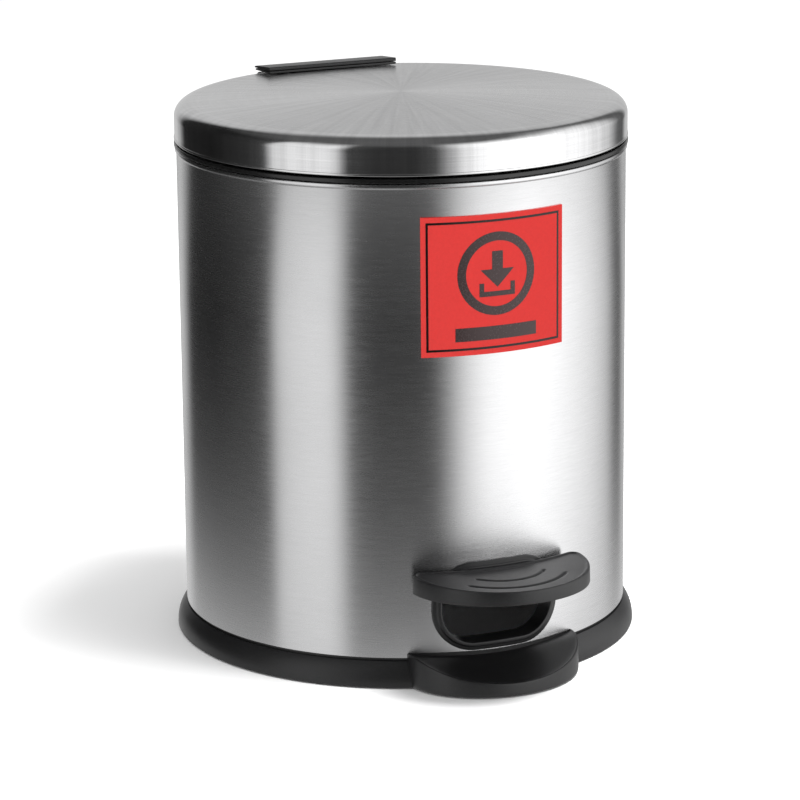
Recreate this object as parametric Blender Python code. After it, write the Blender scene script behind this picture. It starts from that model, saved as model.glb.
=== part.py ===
"""Round step-on waste bin, built as separate pieces that move on their real joints.

The bin's axis is the Z axis of the pieces below. The pedal faces -Y and the lid hinge is at +Y.
An empty called bin_axis carries everything, and moves the middle of the bin's footprint to the origin.
"""
import math

import bmesh
import bpy
from mathutils import Matrix, Vector

MM = 0.001
FIT_GAP = 0.3 * MM  # room left between two pieces that seat on each other
WELD = 0.001 * MM  # points closer than this are one point

# Facets round a full turn
ROUND = 60
BUCKET_ROUND = 48
PIN_ROUND = 12

# Body tube, rolled from sheet
SHELL_RADIUS = 102.5 * MM
SHELL_WALL = 0.6 * MM
SHELL_BOTTOM = 13.0 * MM
SHELL_TOP = 226.9 * MM
SHELL_BEAD = 0.6 * MM

# Collar that closes the top edge of the tube
COLLAR_OVERHANG = 1.0 * MM
COLLAR_THICKNESS = 2.0 * MM
COLLAR_WIDTH = 8.5 * MM
COLLAR_WALL = 1.8 * MM
COLLAR_DEPTH = 15.0 * MM
COLLAR_LIP_DEPTH = 13.0 * MM

# Lid, pressed from sheet
LID_GAP = 1.0 * MM
LID_OVERHANG = 0.7 * MM
LID_WALL = 0.6 * MM
LID_SKIRT = 10.3 * MM
LID_SHOULDER_WIDTH = 8.0 * MM
LID_SHOULDER_HEIGHT = 6.6 * MM
LID_CROWN = 2.7 * MM
LINER_WALL = 1.5 * MM
LINER_RIM_WIDTH = 5.0 * MM
LINER_RIM_RAISE = 2.6 * MM
BUMPER_RADIUS = 2.0 * MM
BUMPER_ANGLES = {"front": -90.0, "left": 150.0, "right": 30.0}

# Base moulding: skirt, inner wall and raised floor
BASE_FLARE = 4.4 * MM
BASE_RING_WIDTH = 10.4 * MM
BASE_BOTTOM = 0.5 * MM
SKIRT_STEPS = 6
SKIRT_POWER = 2.3  # fullness of the skirt's curve
SHELL_REVEAL = 1.5 * MM
TUB_WALL = 2.0 * MM
FLOOR_TOP = 56.5 * MM
FOOT_RADIUS = 4.5 * MM
FOOT_HEIGHT = 2.2 * MM
FOOT_ANGLES = {"front_left": -135.0, "front_right": -45.0, "rear_right": 45.0, "rear_left": 135.0}

# Foot well moulded to the front of the base
WELL_WIDTH = 82.0 * MM
WELL_PROJECTION = 26.3 * MM
WELL_ROUND_DEPTH = 34.7 * MM
WELL_FRONT_HEIGHT = 6.2 * MM
WELL_SLOPE = 0.33
WELL_WALL = 1.4 * MM
WELL_FLOOR = 2.0 * MM
WELL_DISH = 1.2 * MM

# Opening in the tube for the pedal arm, and the frame that lines it
WINDOW_WIDTH = 53.0 * MM
WINDOW_HEIGHT = 33.0 * MM
WINDOW_RADIUS = 15.0 * MM
WINDOW_CENTRE = 35.7 * MM
BEZEL_FLANGE = 4.0 * MM
BEZEL_WALL = 1.7 * MM
BEZEL_PROUD = 1.6 * MM
BEZEL_DEPTH = 8.0 * MM

# Pedal plate
PEDAL_WIDTH = 82.0 * MM
PEDAL_PROJECTION = 40.5 * MM
PEDAL_STANDOFF = 2.5 * MM
PEDAL_CORNER = 4.0 * MM
PEDAL_TOP = 53.4 * MM
PEDAL_TOP_SLOPE = 0.01
PEDAL_RIM = 8.5 * MM
PEDAL_RIM_SLOPE = -0.05
PEDAL_WALL = 2.0 * MM

# Pedal lever and its axle
AXLE_RADIUS = 2.5 * MM
AXLE_HEIGHT = 30.0 * MM
AXLE_RUNNING_GAP = 0.5 * MM
ARM_WIDTH = 36.0 * MM
ARM_TAIL_WIDTH = 18.0 * MM
ARM_THICKNESS = 2.0 * MM
ARM_BELOW_PEDAL = 4.6 * MM  # middle of the strap below the pedal's top
ARM_WINDOW_GAP = 0.9 * MM  # least room over the strap's edges, where the window's corners come down
ARM_EAR_WIDTH = 8.0 * MM
PEDAL_STROKE = math.radians(14.0)
TAIL_ANGLE = math.radians(9.0)  # how far the tail hangs below level at rest
BASE_EAR_WALL = 3.5 * MM
BASE_EAR_WIDTH = 9.0 * MM
CLIP_THICKNESS = 1.0 * MM
CLIP_RADIUS = 4.6 * MM

# Lift rod
ROD_RADIUS = 2.0 * MM
ROD_INSET = 7.5 * MM  # from the outside of the tube
ROD_FOOT_RADIUS = 3.4 * MM
ROD_TIP_RADIUS = 3.0 * MM
ROD_TIP_LENGTH = 9.0 * MM
LEVER_GAP = 0.3 * MM
LID_PAD_GAP = 1.0 * MM  # free play before the rod meets the lid
GUIDE_WIDTH = 12.0 * MM
GUIDE_HEIGHT = 8.0 * MM
GUIDE_SHARES = {"lower": 0.27, "upper": 0.82}  # place of each guide between the floor and the collar

# Lid hinge
LID_SWING = math.radians(75.0)
HINGE_RISE = 9.8 * MM  # pin above the collar
HINGE_PIN_RADIUS = 2.0 * MM
KNUCKLE_RADIUS = 4.5 * MM
KNUCKLE_WIDTH = 41.0 * MM
BRACKET_EAR_RADIUS = 5.2 * MM
BRACKET_EAR_WALL = 4.7 * MM
BRACKET_EAR_ROOT = 0.451 * MM  # how far an ear's inner edge is let into the plate
BRACKET_PLATE = 3.8 * MM
BRACKET_HEIGHT = 26.0 * MM
BRACKET_SCREW_ANGLE = math.radians(8.0)
TONGUE_WIDTH = 15.0 * MM
TONGUE_THICKNESS = 3.2 * MM
TONGUE_REACH = 23.0 * MM
CAP_WIDTH = 65.0 * MM
CAP_FRONT = 24.2 * MM  # from the lid's rear edge to the cap's front edge
CAP_DEPTH = 18.2 * MM
CAP_FALL = 1.0 * MM  # the leaf under the cap gets thinner by this much towards its back edge
LEAF_THICKNESS = 1.2 * MM
CAP_THICKNESS = 1.6 * MM
CAP_CHAMFER = 0.6 * MM

# Bucket with its bail
BUCKET_CLEARANCE = 3.5 * MM  # between the bucket's lip and the collar
BUCKET_RIM_DROP = 15.2 * MM  # rim below the top of the collar
BUCKET_LIP = 2.0 * MM
BUCKET_WALL = 1.8 * MM
BUCKET_DRAFT = 9.5 * MM
BAIL_WIRE_RADIUS = 1.5 * MM
BAIL_INSET = 3.8 * MM  # so that the wire lies on the rim
BAIL_GRIP_RADIUS = 4.5 * MM
BAIL_GRIP_LENGTH = 40.0 * MM
BAIL_SAG = 6.859 * MM  # the wire's flat middle lies this far inside its circle
BAIL_EAR_WALL = 2.4 * MM
BAIL_EAR_WIDTH = 10.0 * MM

# Label on the front of the tube
LABEL_HALF_ANGLE = math.radians(19.3)
LABEL_BOTTOM = 76.8 * MM  # below the top of the tube
LABEL_HEIGHT = 61.9 * MM
LABEL_THICKNESS = 0.25 * MM

# Screws
SCREW_RADIUS = 1.5 * MM
SCREW_HOLE = 1.8 * MM
SCREW_HEAD_RADIUS = 3.0 * MM
SCREW_HEAD = 1.6 * MM
PEDAL_SCREW_SPREAD = 10.0 * MM
LID_SCREW_SPREAD = 20.0 * MM

# Sizes that follow from the ones above
SHELL_INNER = SHELL_RADIUS - SHELL_WALL
SPIGOT_RADIUS = SHELL_INNER - FIT_GAP
COLLAR_TOP = SHELL_TOP + FIT_GAP + COLLAR_THICKNESS
COLLAR_RADIUS = SHELL_RADIUS + COLLAR_OVERHANG
COLLAR_INNER = COLLAR_RADIUS - COLLAR_WIDTH
LID_RADIUS = SHELL_RADIUS + LID_OVERHANG
LID_BOTTOM = COLLAR_TOP + LID_GAP
LID_SHOULDER_RADIUS = LID_RADIUS - LID_SHOULDER_WIDTH
LID_SHOULDER_BOTTOM = LID_BOTTOM + LID_SKIRT
LID_EDGE = LID_SHOULDER_BOTTOM + LID_SHOULDER_HEIGHT
LINER_RADIUS = LID_RADIUS - LID_WALL - FIT_GAP
LINER_BOTTOM = LID_BOTTOM + LINER_RIM_RAISE
BASE_RADIUS = SHELL_RADIUS + BASE_FLARE
SKIRT_TOP = SHELL_BOTTOM - SHELL_REVEAL
TUB_INNER = SPIGOT_RADIUS - TUB_WALL
FLOOR_BOTTOM = FLOOR_TOP - TUB_WALL
FOOT_CIRCLE = BASE_RADIUS - BASE_RING_WIDTH / 2
WELL_FRONT = SHELL_RADIUS + WELL_PROJECTION
PEDAL_FRONT = SHELL_RADIUS + PEDAL_PROJECTION
PEDAL_BACK_RADIUS = SHELL_RADIUS + PEDAL_STANDOFF
ROD_Y = SHELL_RADIUS - ROD_INSET
WINDOW_CORNER_X = WINDOW_WIDTH / 2 - WINDOW_RADIUS
WINDOW_CORNER_Z = WINDOW_CENTRE + WINDOW_HEIGHT / 2 - WINDOW_RADIUS
ARM_EDGE_CEILING = WINDOW_CORNER_Z + math.sqrt(WINDOW_RADIUS**2 - (ARM_WIDTH / 2 - WINDOW_CORNER_X) ** 2)
ARM_HEIGHT_AT_WINDOW = min(PEDAL_TOP - ARM_BELOW_PEDAL, ARM_EDGE_CEILING - ARM_WINDOW_GAP - ARM_THICKNESS / 2)
ARM_LIFT = AXLE_RADIUS + AXLE_RUNNING_GAP + ARM_THICKNESS / 2  # middle of the strap above the axle
ROD_TRAVEL = ROD_Y * (math.tan(TAIL_ANGLE) + math.tan(PEDAL_STROKE - TAIL_ANGLE))
HINGE_Y = ROD_Y + ROD_TRAVEL / (2 * math.tan(LID_SWING / 2))
HINGE_Z = COLLAR_TOP + HINGE_RISE
BUCKET_LIP_RADIUS = COLLAR_INNER - BUCKET_CLEARANCE
BUCKET_RIM = COLLAR_TOP - BUCKET_RIM_DROP
BUCKET_BOTTOM = FLOOR_TOP + FIT_GAP
BAIL_Z = BUCKET_RIM + BAIL_WIRE_RADIUS + FIT_GAP
BAIL_RADIUS = BUCKET_LIP_RADIUS - BAIL_INSET
BAIL_EAR_FACE = BUCKET_LIP_RADIUS - BAIL_EAR_WALL - 0.2 * MM
EAR_INNER_X = ARM_WIDTH / 2 + 2 * FIT_GAP
AXLE_REACH = EAR_INNER_X + BASE_EAR_WALL + 3.2 * MM
REAR_REACH = HINGE_Y + BRACKET_EAR_RADIUS
AXIS_Y = (PEDAL_FRONT - REAR_REACH) / 2

FINISHES = {
    "steel": ((0.62, 0.62, 0.63), 0.3, 1.0),
    "lid_steel": ((0.68, 0.68, 0.69), 0.25, 1.0),
    "zinc": ((0.55, 0.56, 0.58), 0.4, 1.0),
    "black_plastic": ((0.025, 0.025, 0.027), 0.42, 0.0),
    "gloss_black": ((0.012, 0.012, 0.013), 0.2, 0.0),
    "grey_plastic": ((0.09, 0.09, 0.095), 0.5, 0.0),
    "rubber": ((0.02, 0.02, 0.02), 0.85, 0.0),
    "red_vinyl": ((0.80, 0.03, 0.02), 0.35, 0.0),
}


def empty_scene():
    for item in list(bpy.data.objects):
        bpy.data.objects.remove(item, do_unlink=True)


def holder(name, place, parent=None):
    """Empty that carries pieces; its place is measured from the bin's axis."""
    item = bpy.data.objects.new(name, None)
    bpy.context.collection.objects.link(item)
    item.location = place
    item.parent = parent
    return item


def finish_material(node, finish):
    colour, roughness, metallic = FINISHES[finish]
    material = bpy.data.materials.new(node + "_" + finish)
    material.use_nodes = True
    shader = material.node_tree.nodes["Principled BSDF"]
    shader.inputs["Base Color"].default_value = (*colour, 1.0)
    shader.inputs["Roughness"].default_value = roughness
    shader.inputs["Metallic"].default_value = metallic
    material.diffuse_color = (*colour, 1.0)
    return material


def piece(node, bm, finish, carrier):
    """Turn a mesh built round the bin's axis into a named piece on its carrier."""
    bmesh.ops.remove_doubles(bm, verts=bm.verts, dist=WELD)
    bmesh.ops.recalc_face_normals(bm, faces=bm.faces)
    if carrier.parent:
        bm.transform(Matrix.Translation(-carrier.location))
    mesh = bpy.data.meshes.new(node)
    bm.to_mesh(mesh)
    bm.free()
    mesh.shade_smooth()
    mesh.set_sharp_from_angle(angle=math.radians(35.0))
    item = bpy.data.objects.new(node, mesh)
    bpy.context.collection.objects.link(item)
    item.parent = carrier
    mesh.materials.append(finish_material(node, finish))
    return item


def cutter(name, bm, carrier):
    """Hidden shape for a Boolean."""
    bmesh.ops.remove_doubles(bm, verts=bm.verts, dist=WELD)
    bmesh.ops.recalc_face_normals(bm, faces=bm.faces)
    if carrier.parent:
        bm.transform(Matrix.Translation(-carrier.location))
    mesh = bpy.data.meshes.new(name)
    bm.to_mesh(mesh)
    bm.free()
    item = bpy.data.objects.new(name, mesh)
    bpy.context.collection.objects.link(item)
    item.parent = carrier
    item.hide_render = True
    item.display_type = "WIRE"
    return item


def combine(item, other, operation):
    step = item.modifiers.new(other.name, "BOOLEAN")
    step.operation = operation
    step.solver = "EXACT"
    step.object = other


def cut(item, *tools):
    for tool in tools:
        combine(item, tool, "DIFFERENCE")


def join(item, *tools):
    for tool in tools:
        combine(item, tool, "UNION")


def turned(profile, segments=ROUND):
    """Spin an outline of (radius, height) points about Z. It is closed, unless it starts on the axis."""
    bm = bmesh.new()
    points = [bm.verts.new((radius, 0.0, height)) for radius, height in profile]
    edges = [bm.edges.new(pair) for pair in zip(points, points[1:])]
    if profile[0][0] > 0.0:
        edges.append(bm.edges.new((points[-1], points[0])))
    axis = {"cent": (0, 0, 0), "axis": (0, 0, 1), "angle": math.tau}
    bmesh.ops.spin(bm, geom=points + edges, steps=segments, use_merge=True, **axis)
    bmesh.ops.remove_doubles(bm, verts=bm.verts, dist=WELD)
    bmesh.ops.dissolve_degenerate(bm, edges=bm.edges, dist=WELD)
    return bm


def prism(outline, low, high):
    """Solid between two heights over an (x, y) outline; a height may be a function of y."""
    bm = bmesh.new()
    heights = [value if callable(value) else (lambda y, level=value: level) for value in (low, high)]
    bottom, top = [[bm.verts.new((x, y, height(y))) for x, y in outline] for height in heights]
    bm.faces.new(bottom)
    bm.faces.new(top)
    for index in range(len(outline)):
        bm.faces.new((bottom[index - 1], bottom[index], top[index], top[index - 1]))
    return bm


def across(outline, left, right):
    """Solid with a (y, z) outline that runs along X."""
    bm = prism(outline, left, right)
    bm.transform(Matrix(((0, 0, 1, 0), (1, 0, 0, 0), (0, 1, 0, 0), (0, 0, 0, 1))))
    return bm


def front_to_back(outline, front, back):
    """Solid with an (x, z) outline that runs along Y."""
    bm = prism(outline, front, back)
    bm.transform(Matrix(((1, 0, 0, 0), (0, 0, 1, 0), (0, 1, 0, 0), (0, 0, 0, 1))))
    return bm


def bar(radius, start, end, segments=PIN_ROUND):
    """Round bar between two points."""
    start, end = Vector(start), Vector(end)
    turn = (end - start).to_track_quat("Z", "Y").to_matrix().to_4x4()
    bm = bmesh.new()
    bmesh.ops.create_cone(
        bm, cap_ends=True, segments=segments, radius1=radius, radius2=radius, depth=(end - start).length
    )
    bm.transform(Matrix.Translation((start + end) / 2) @ turn)
    return bm


def block(low, high):
    (left, front, bottom), (right, back, top) = low, high
    return prism([(left, front), (right, front), (right, back), (left, back)], bottom, top)


def turned_along(profile, start, direction, segments=PIN_ROUND):
    """Spin a (radius, height) outline, then stand it at start with its height along direction."""
    bm = turned(profile, segments)
    turn = Vector(direction).to_track_quat("Z", "Y").to_matrix().to_4x4()
    bm.transform(Matrix.Translation(start) @ turn)
    return bm


def arc(centre, radius_u, radius_v, start, end, steps):
    """Points of an ellipse's arc, angles in degrees."""
    points = []
    for index in range(steps + 1):
        angle = math.radians(start + (end - start) * index / steps)
        points.append((centre[0] + radius_u * math.cos(angle), centre[1] + radius_v * math.sin(angle)))
    return points


def curved_plate(inner, outer, half_angle, low, high, middle=-math.pi / 2, steps=8):
    """Plate wrapped round the bin's axis."""
    angles = [middle + half_angle * (2 * index / steps - 1) for index in range(steps + 1)]
    outline = [(outer * math.cos(angle), outer * math.sin(angle)) for angle in angles]
    outline += [(inner * math.cos(angle), inner * math.sin(angle)) for angle in reversed(angles)]
    return prism(outline, low, high)


def window_outline(grow, flats=4, corner_steps=5):
    """Outline of the pedal window as (x, z), widened all round by grow."""
    radius = WINDOW_RADIUS + grow
    side = WINDOW_WIDTH / 2 - WINDOW_RADIUS
    rise = WINDOW_HEIGHT / 2 - WINDOW_RADIUS
    corners = [((side, rise), 0.0), ((-side, rise), 90.0), ((-side, -rise), 180.0), ((side, -rise), 270.0)]
    points = []
    for (x, z), start in corners:
        bend = arc((x, WINDOW_CENTRE + z), radius, radius, start, start + 90.0, corner_steps)
        if points:
            points += between(points[-1], bend[0], flats)
        points += bend
    points += between(points[-1], points[0], flats)
    return points


def between(start, end, parts):
    """Points inside a straight run, so that it can follow the tube's curve."""
    start, end = Vector(start), Vector(end)
    return [tuple(start.lerp(end, index / parts)) for index in range(1, parts)]


def half_oval(half_width, centre, reach, steps):
    """Rounded front from the right side to the left side, as (x, y) points."""
    return arc((0.0, -centre), half_width, reach - centre, 0.0, -180.0, steps)


def well_outline(inset):
    """Foot well seen from above."""
    centre = WELL_FRONT - WELL_ROUND_DEPTH
    side = WELL_WIDTH / 2 - inset
    back = -(TUB_INNER + SPIGOT_RADIUS) / 2 * math.cos(math.asin(WELL_WIDTH / 2 / SPIGOT_RADIUS))
    return half_oval(side, centre, WELL_FRONT - inset, 20) + [(-side, back), (side, back)]


def well_rim(y):
    return WELL_FRONT_HEIGHT + WELL_SLOPE * (y + WELL_FRONT)


def pedal_outline(inset):
    """Pedal seen from above: an oval front and a back edge that follows the tube."""
    side = PEDAL_WIDTH / 2 - inset
    back = PEDAL_BACK_RADIUS + inset
    corner = max(PEDAL_CORNER - inset, 0.5 * MM)
    corner_x = side - corner
    corner_y = math.sqrt((back + corner) ** 2 - corner_x**2)
    turn = 90.0 + math.degrees(math.asin(corner_x / (back + corner)))
    right = arc((corner_x, -corner_y), corner, corner, 0.0, turn, 5)
    edge = math.asin(right[-1][0] / back)
    bearings = [edge * share for share in (0.75, 0.5, 0.25, 0.0)]
    back_edge = [(back * math.sin(bearing), -back * math.cos(bearing)) for bearing in bearings]
    half = right + back_edge
    mirrored = [(-x, y) for x, y in reversed(half[:-1])]
    front = half_oval(side, corner_y, PEDAL_FRONT - inset, 24)
    return half + mirrored + list(reversed(front[1:-1]))


def pedal_top(y):
    return PEDAL_TOP + PEDAL_TOP_SLOPE * (y + PEDAL_BACK_RADIUS)


def pedal_rim(y):
    return PEDAL_TOP - PEDAL_RIM + PEDAL_RIM_SLOPE * (y + PEDAL_BACK_RADIUS)


def arm_tail(y):
    """Height of the middle of the lever's tail, behind the axle."""
    return AXLE_HEIGHT + ARM_LIFT / math.cos(TAIL_ANGLE) - y * math.tan(TAIL_ANGLE)


def lid_top(radius, grow=0.0):
    """Height of the lid's crown."""
    return LID_EDGE + LID_CROWN * (1.0 - (radius / LID_SHOULDER_RADIUS) ** 2) + grow


def lid_shoulder(grow, start, end, steps):
    """Rounded edge of the lid, as (radius, height), widened by grow."""
    centre = (LID_SHOULDER_RADIUS, LID_SHOULDER_BOTTOM)
    return arc(centre, LID_SHOULDER_WIDTH + grow, LID_SHOULDER_HEIGHT + grow, start, end, steps)


def lid_crown(grow):
    """Crown from the shoulder to the middle, as (radius, height)."""
    radii = [LID_SHOULDER_RADIUS * share for share in (0.7, 0.4, 0.0)]
    return [(radius, lid_top(radius, grow)) for radius in radii]


def liner_seat():
    """Lowest level of the liner's underside, where the lid screws bear."""
    return LID_EDGE - LID_WALL - FIT_GAP - LINER_WALL - 0.5 * MM


def screw_profile(length):
    """Pan head below zero height and shank above it."""
    return [
        (0.0, -SCREW_HEAD),
        (SCREW_HEAD_RADIUS * 0.7, -SCREW_HEAD),
        (SCREW_HEAD_RADIUS, -SCREW_HEAD * 0.5),
        (SCREW_HEAD_RADIUS, 0.0),
        (SCREW_RADIUS, 0.0),
        (SCREW_RADIUS, length),
        (0.0, length),
    ]


def make_shell(body):
    outer = SHELL_RADIUS
    shell = piece(
        "body_shell",
        turned([
            (SHELL_INNER, SHELL_BOTTOM),
            (outer, SHELL_BOTTOM),
            (outer, SHELL_TOP - 2.8 * SHELL_BEAD),
            (outer + SHELL_BEAD, SHELL_TOP - 1.8 * SHELL_BEAD),
            (outer + SHELL_BEAD, SHELL_TOP - 0.6 * SHELL_BEAD),
            (outer + 0.2 * SHELL_BEAD, SHELL_TOP),
            (SHELL_INNER, SHELL_TOP),
        ]),
        "steel",
        body,
    )
    return shell


def make_collar(body):
    sleeve = COLLAR_TOP - COLLAR_THICKNESS
    collar = piece(
        "top_collar",
        turned([
            (COLLAR_INNER, SHELL_TOP - COLLAR_LIP_DEPTH),
            (COLLAR_INNER + COLLAR_WALL, SHELL_TOP - COLLAR_LIP_DEPTH),
            (COLLAR_INNER + COLLAR_WALL, sleeve - FIT_GAP),
            (SPIGOT_RADIUS - COLLAR_WALL, sleeve - FIT_GAP),
            (SPIGOT_RADIUS - COLLAR_WALL, SHELL_TOP - COLLAR_DEPTH),
            (SPIGOT_RADIUS, SHELL_TOP - COLLAR_DEPTH),
            (SPIGOT_RADIUS, sleeve),
            (COLLAR_RADIUS, sleeve),
            (COLLAR_RADIUS, COLLAR_TOP - 0.4 * MM),
            (COLLAR_RADIUS - 0.4 * MM, COLLAR_TOP),
            (COLLAR_INNER + 0.6 * MM, COLLAR_TOP),
            (COLLAR_INNER, COLLAR_TOP - 0.6 * MM),
        ]),
        "gloss_black",
        body,
    )
    back = SPIGOT_RADIUS - COLLAR_WALL + 0.1 * MM
    half = TONGUE_WIDTH / 2 + 2.0 * MM
    notch = block((-half, COLLAR_INNER - 3 * MM, SHELL_TOP - 2 * COLLAR_DEPTH), (half, back, HINGE_Z))
    cut(collar, cutter("collar_notch", notch, body))
    return collar


def skirt_line():
    """Outside of the base's skirt from its foot up to the tube, as (radius, height)."""
    points = []
    for step in range(SKIRT_STEPS + 1):
        share = math.sin(math.radians(90.0 * step / SKIRT_STEPS))
        radius = BASE_RADIUS - (BASE_FLARE - 0.1 * MM) * share**SKIRT_POWER
        points.append((radius, BASE_BOTTOM + (SKIRT_TOP - BASE_BOTTOM) * share))
    return points


def make_base(body):
    ring_inner = BASE_RADIUS - BASE_RING_WIDTH
    profile = [
        (0.0, FLOOR_BOTTOM),
        (TUB_INNER, FLOOR_BOTTOM),
        (TUB_INNER, SKIRT_TOP),
        (ring_inner, SKIRT_TOP - 2.5 * MM),
        (ring_inner, BASE_BOTTOM),
        *skirt_line(),
        (SPIGOT_RADIUS, SKIRT_TOP),
        (SPIGOT_RADIUS, FLOOR_TOP - 1.2 * MM),
        (SPIGOT_RADIUS - 1.2 * MM, FLOOR_TOP),
        (0.0, FLOOR_TOP),
    ]
    base = piece("base", turned(profile), "black_plastic", body)

    well = cutter("foot_well_body", prism(well_outline(0.0), BASE_BOTTOM, well_rim), body)
    cavity = prism(well_outline(WELL_WALL), -1 * MM, lambda y: well_rim(y) - WELL_DISH - WELL_FLOOR)
    dish = prism(well_outline(WELL_WALL), lambda y: well_rim(y) - WELL_DISH, lambda y: well_rim(y) + 9 * MM)
    seat = turned([
        (0.0, SKIRT_TOP + 0.5 * MM),
        (SHELL_RADIUS + FIT_GAP, SKIRT_TOP + 0.5 * MM),
        (SHELL_RADIUS + FIT_GAP, FLOOR_TOP),
        (0.0, FLOOR_TOP),
    ])
    inside = turned([(0.0, -2 * MM), (FOOT_CIRCLE, -2 * MM), (FOOT_CIRCLE, FLOOR_TOP), (0.0, FLOOR_TOP)])
    cut(
        well,
        cutter("foot_well_cavity", cavity, body),
        cutter("foot_well_dish", dish, body),
        cutter("foot_well_seat", seat, body),
        cutter("foot_well_inside", inside, body),
    )
    join(base, well)

    for side, sign in (("left", -1), ("right", 1)):
        near, far = sorted((sign * EAR_INNER_X, sign * (EAR_INNER_X + BASE_EAR_WALL)))
        bottom = AXLE_HEIGHT - BASE_EAR_WIDTH * 0.6
        ear = [
            (-BASE_EAR_WIDTH * 1.6, FLOOR_BOTTOM + TUB_WALL / 2),
            (-BASE_EAR_WIDTH * 0.7, AXLE_HEIGHT),
            (-BASE_EAR_WIDTH * 0.4, bottom),
            (BASE_EAR_WIDTH * 0.4, bottom),
            (BASE_EAR_WIDTH * 0.7, AXLE_HEIGHT),
            (BASE_EAR_WIDTH * 1.6, FLOOR_BOTTOM + TUB_WALL / 2),
        ]
        join(base, cutter("base_ear_" + side, across(ear, near, far), body))

    reach = 2 * AXLE_REACH
    axle_bore = bar(AXLE_RADIUS + FIT_GAP, (-reach, 0, AXLE_HEIGHT), (reach, 0, AXLE_HEIGHT))
    cut(base, cutter("axle_bore", axle_bore, body))
    rod_bore = bar(ROD_RADIUS + FIT_GAP, (0, ROD_Y, FLOOR_BOTTOM - 5 * MM), (0, ROD_Y, FLOOR_TOP + 5 * MM))
    cut(base, cutter("rod_bore_floor", rod_bore, body))
    for place, angle in FOOT_ANGLES.items():
        x, y = FOOT_CIRCLE * math.cos(math.radians(angle)), FOOT_CIRCLE * math.sin(math.radians(angle))
        pocket = bar(FOOT_RADIUS + FIT_GAP, (x, y, -1 * MM), (x, y, FOOT_HEIGHT + FIT_GAP))
        cut(base, cutter("foot_pocket_" + place, pocket, body))
        piece("foot_pad_" + place, bar(FOOT_RADIUS, (x, y, 0.0), (x, y, FOOT_HEIGHT)), "rubber", body)
    return base


def make_window(shell, base, body):
    """Opening through the tube and the base's wall, and the frame that lines it."""
    hole = front_to_back(
        window_outline(BEZEL_WALL + FIT_GAP), -(SHELL_RADIUS + 5 * MM), -(SHELL_RADIUS - BEZEL_DEPTH - 6 * MM)
    )
    opening = cutter("pedal_window", hole, body)
    cut(shell, opening)
    cut(base, opening)

    face = SHELL_RADIUS + FIT_GAP + BEZEL_PROUD
    back = SHELL_RADIUS + FIT_GAP
    tail = SHELL_RADIUS - BEZEL_DEPTH
    section = [
        (0.0, tail),
        (0.0, face - 1.2 * MM),
        (0.5 * MM, face - 0.3 * MM),
        (1.6 * MM, face),
        (BEZEL_FLANGE - 0.6 * MM, face),
        (BEZEL_FLANGE, face - 0.6 * MM),
        (BEZEL_FLANGE, back),
        (BEZEL_WALL, back),
        (BEZEL_WALL, tail),
    ]
    bm = bmesh.new()
    loops = []
    for grow, radius in section:
        loops.append([bm.verts.new((x, -math.sqrt(radius**2 - x**2), z)) for x, z in window_outline(grow)])
    for index, loop in enumerate(loops):
        previous = loops[index - 1]
        for step in range(len(loop)):
            bm.faces.new((previous[step - 1], previous[step], loop[step], loop[step - 1]))
    piece("pedal_bezel", bm, "black_plastic", body)


def make_label(body):
    inner = SHELL_RADIUS + FIT_GAP
    low = SHELL_TOP - LABEL_BOTTOM
    plate = curved_plate(inner, inner + LABEL_THICKNESS, LABEL_HALF_ANGLE, low, low + LABEL_HEIGHT, steps=12)
    piece("front_label", plate, "red_vinyl", body)


def make_axle(body):
    axle = bar(AXLE_RADIUS, (-AXLE_REACH, 0, AXLE_HEIGHT), (AXLE_REACH, 0, AXLE_HEIGHT))
    piece("lever_axle", axle, "zinc", body)
    washer = [
        (AXLE_RADIUS + FIT_GAP, 0.0),
        (CLIP_RADIUS, 0.0),
        (CLIP_RADIUS, CLIP_THICKNESS),
        (AXLE_RADIUS + FIT_GAP, CLIP_THICKNESS),
    ]
    face = EAR_INNER_X + BASE_EAR_WALL + FIT_GAP
    for side, sign in (("left", -1), ("right", 1)):
        clip = turned_along(washer, (sign * face, 0, AXLE_HEIGHT), (sign, 0, 0))
        piece("axle_clip_" + side, clip, "zinc", body)


def make_pedal(lever):
    plate = piece("pedal_plate", prism(pedal_outline(0.0), pedal_rim, pedal_top), "black_plastic", lever)
    outline = pedal_outline(PEDAL_WALL)
    hollow = prism(outline, lambda y: pedal_rim(y) - 5 * MM, lambda y: pedal_top(y) - PEDAL_WALL)
    cut(plate, cutter("pedal_hollow", hollow, lever))
    half = ARM_WIDTH / 2 + 2 * FIT_GAP
    arm_top = ARM_HEIGHT_AT_WINDOW + ARM_THICKNESS / 2
    notch = block(
        (-half, -(PEDAL_BACK_RADIUS + PEDAL_WALL + 0.5 * MM), pedal_rim(-PEDAL_BACK_RADIUS) - 5 * MM),
        (half, -SHELL_RADIUS * 0.9, arm_top + 1.2 * MM),
    )
    cut(plate, cutter("pedal_back_notch", notch, lever))

    screw_y = -(PEDAL_BACK_RADIUS + PEDAL_FRONT) / 2
    for name, x in (("left", -PEDAL_SCREW_SPREAD), ("right", PEDAL_SCREW_SPREAD)):
        ceiling = pedal_top(screw_y) - PEDAL_WALL / 2
        boss = bar(SCREW_HEAD_RADIUS, (x, screw_y, arm_top + FIT_GAP), (x, screw_y, ceiling))
        join(plate, cutter("pedal_boss_" + name, boss, lever))
        hole = bar(SCREW_HOLE, (x, screw_y, 0.0), (x, screw_y, ceiling))
        cut(plate, cutter("pedal_screw_hole_" + name, hole, lever))
        head = ARM_HEIGHT_AT_WINDOW - ARM_THICKNESS / 2 - FIT_GAP
        length = ceiling - 0.4 * MM - head
        screw = turned_along(screw_profile(length), (x, screw_y, head), (0, 0, 1), 12)
        piece("pedal_screw_" + name, screw, "zinc", lever)
    return screw_y


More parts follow.
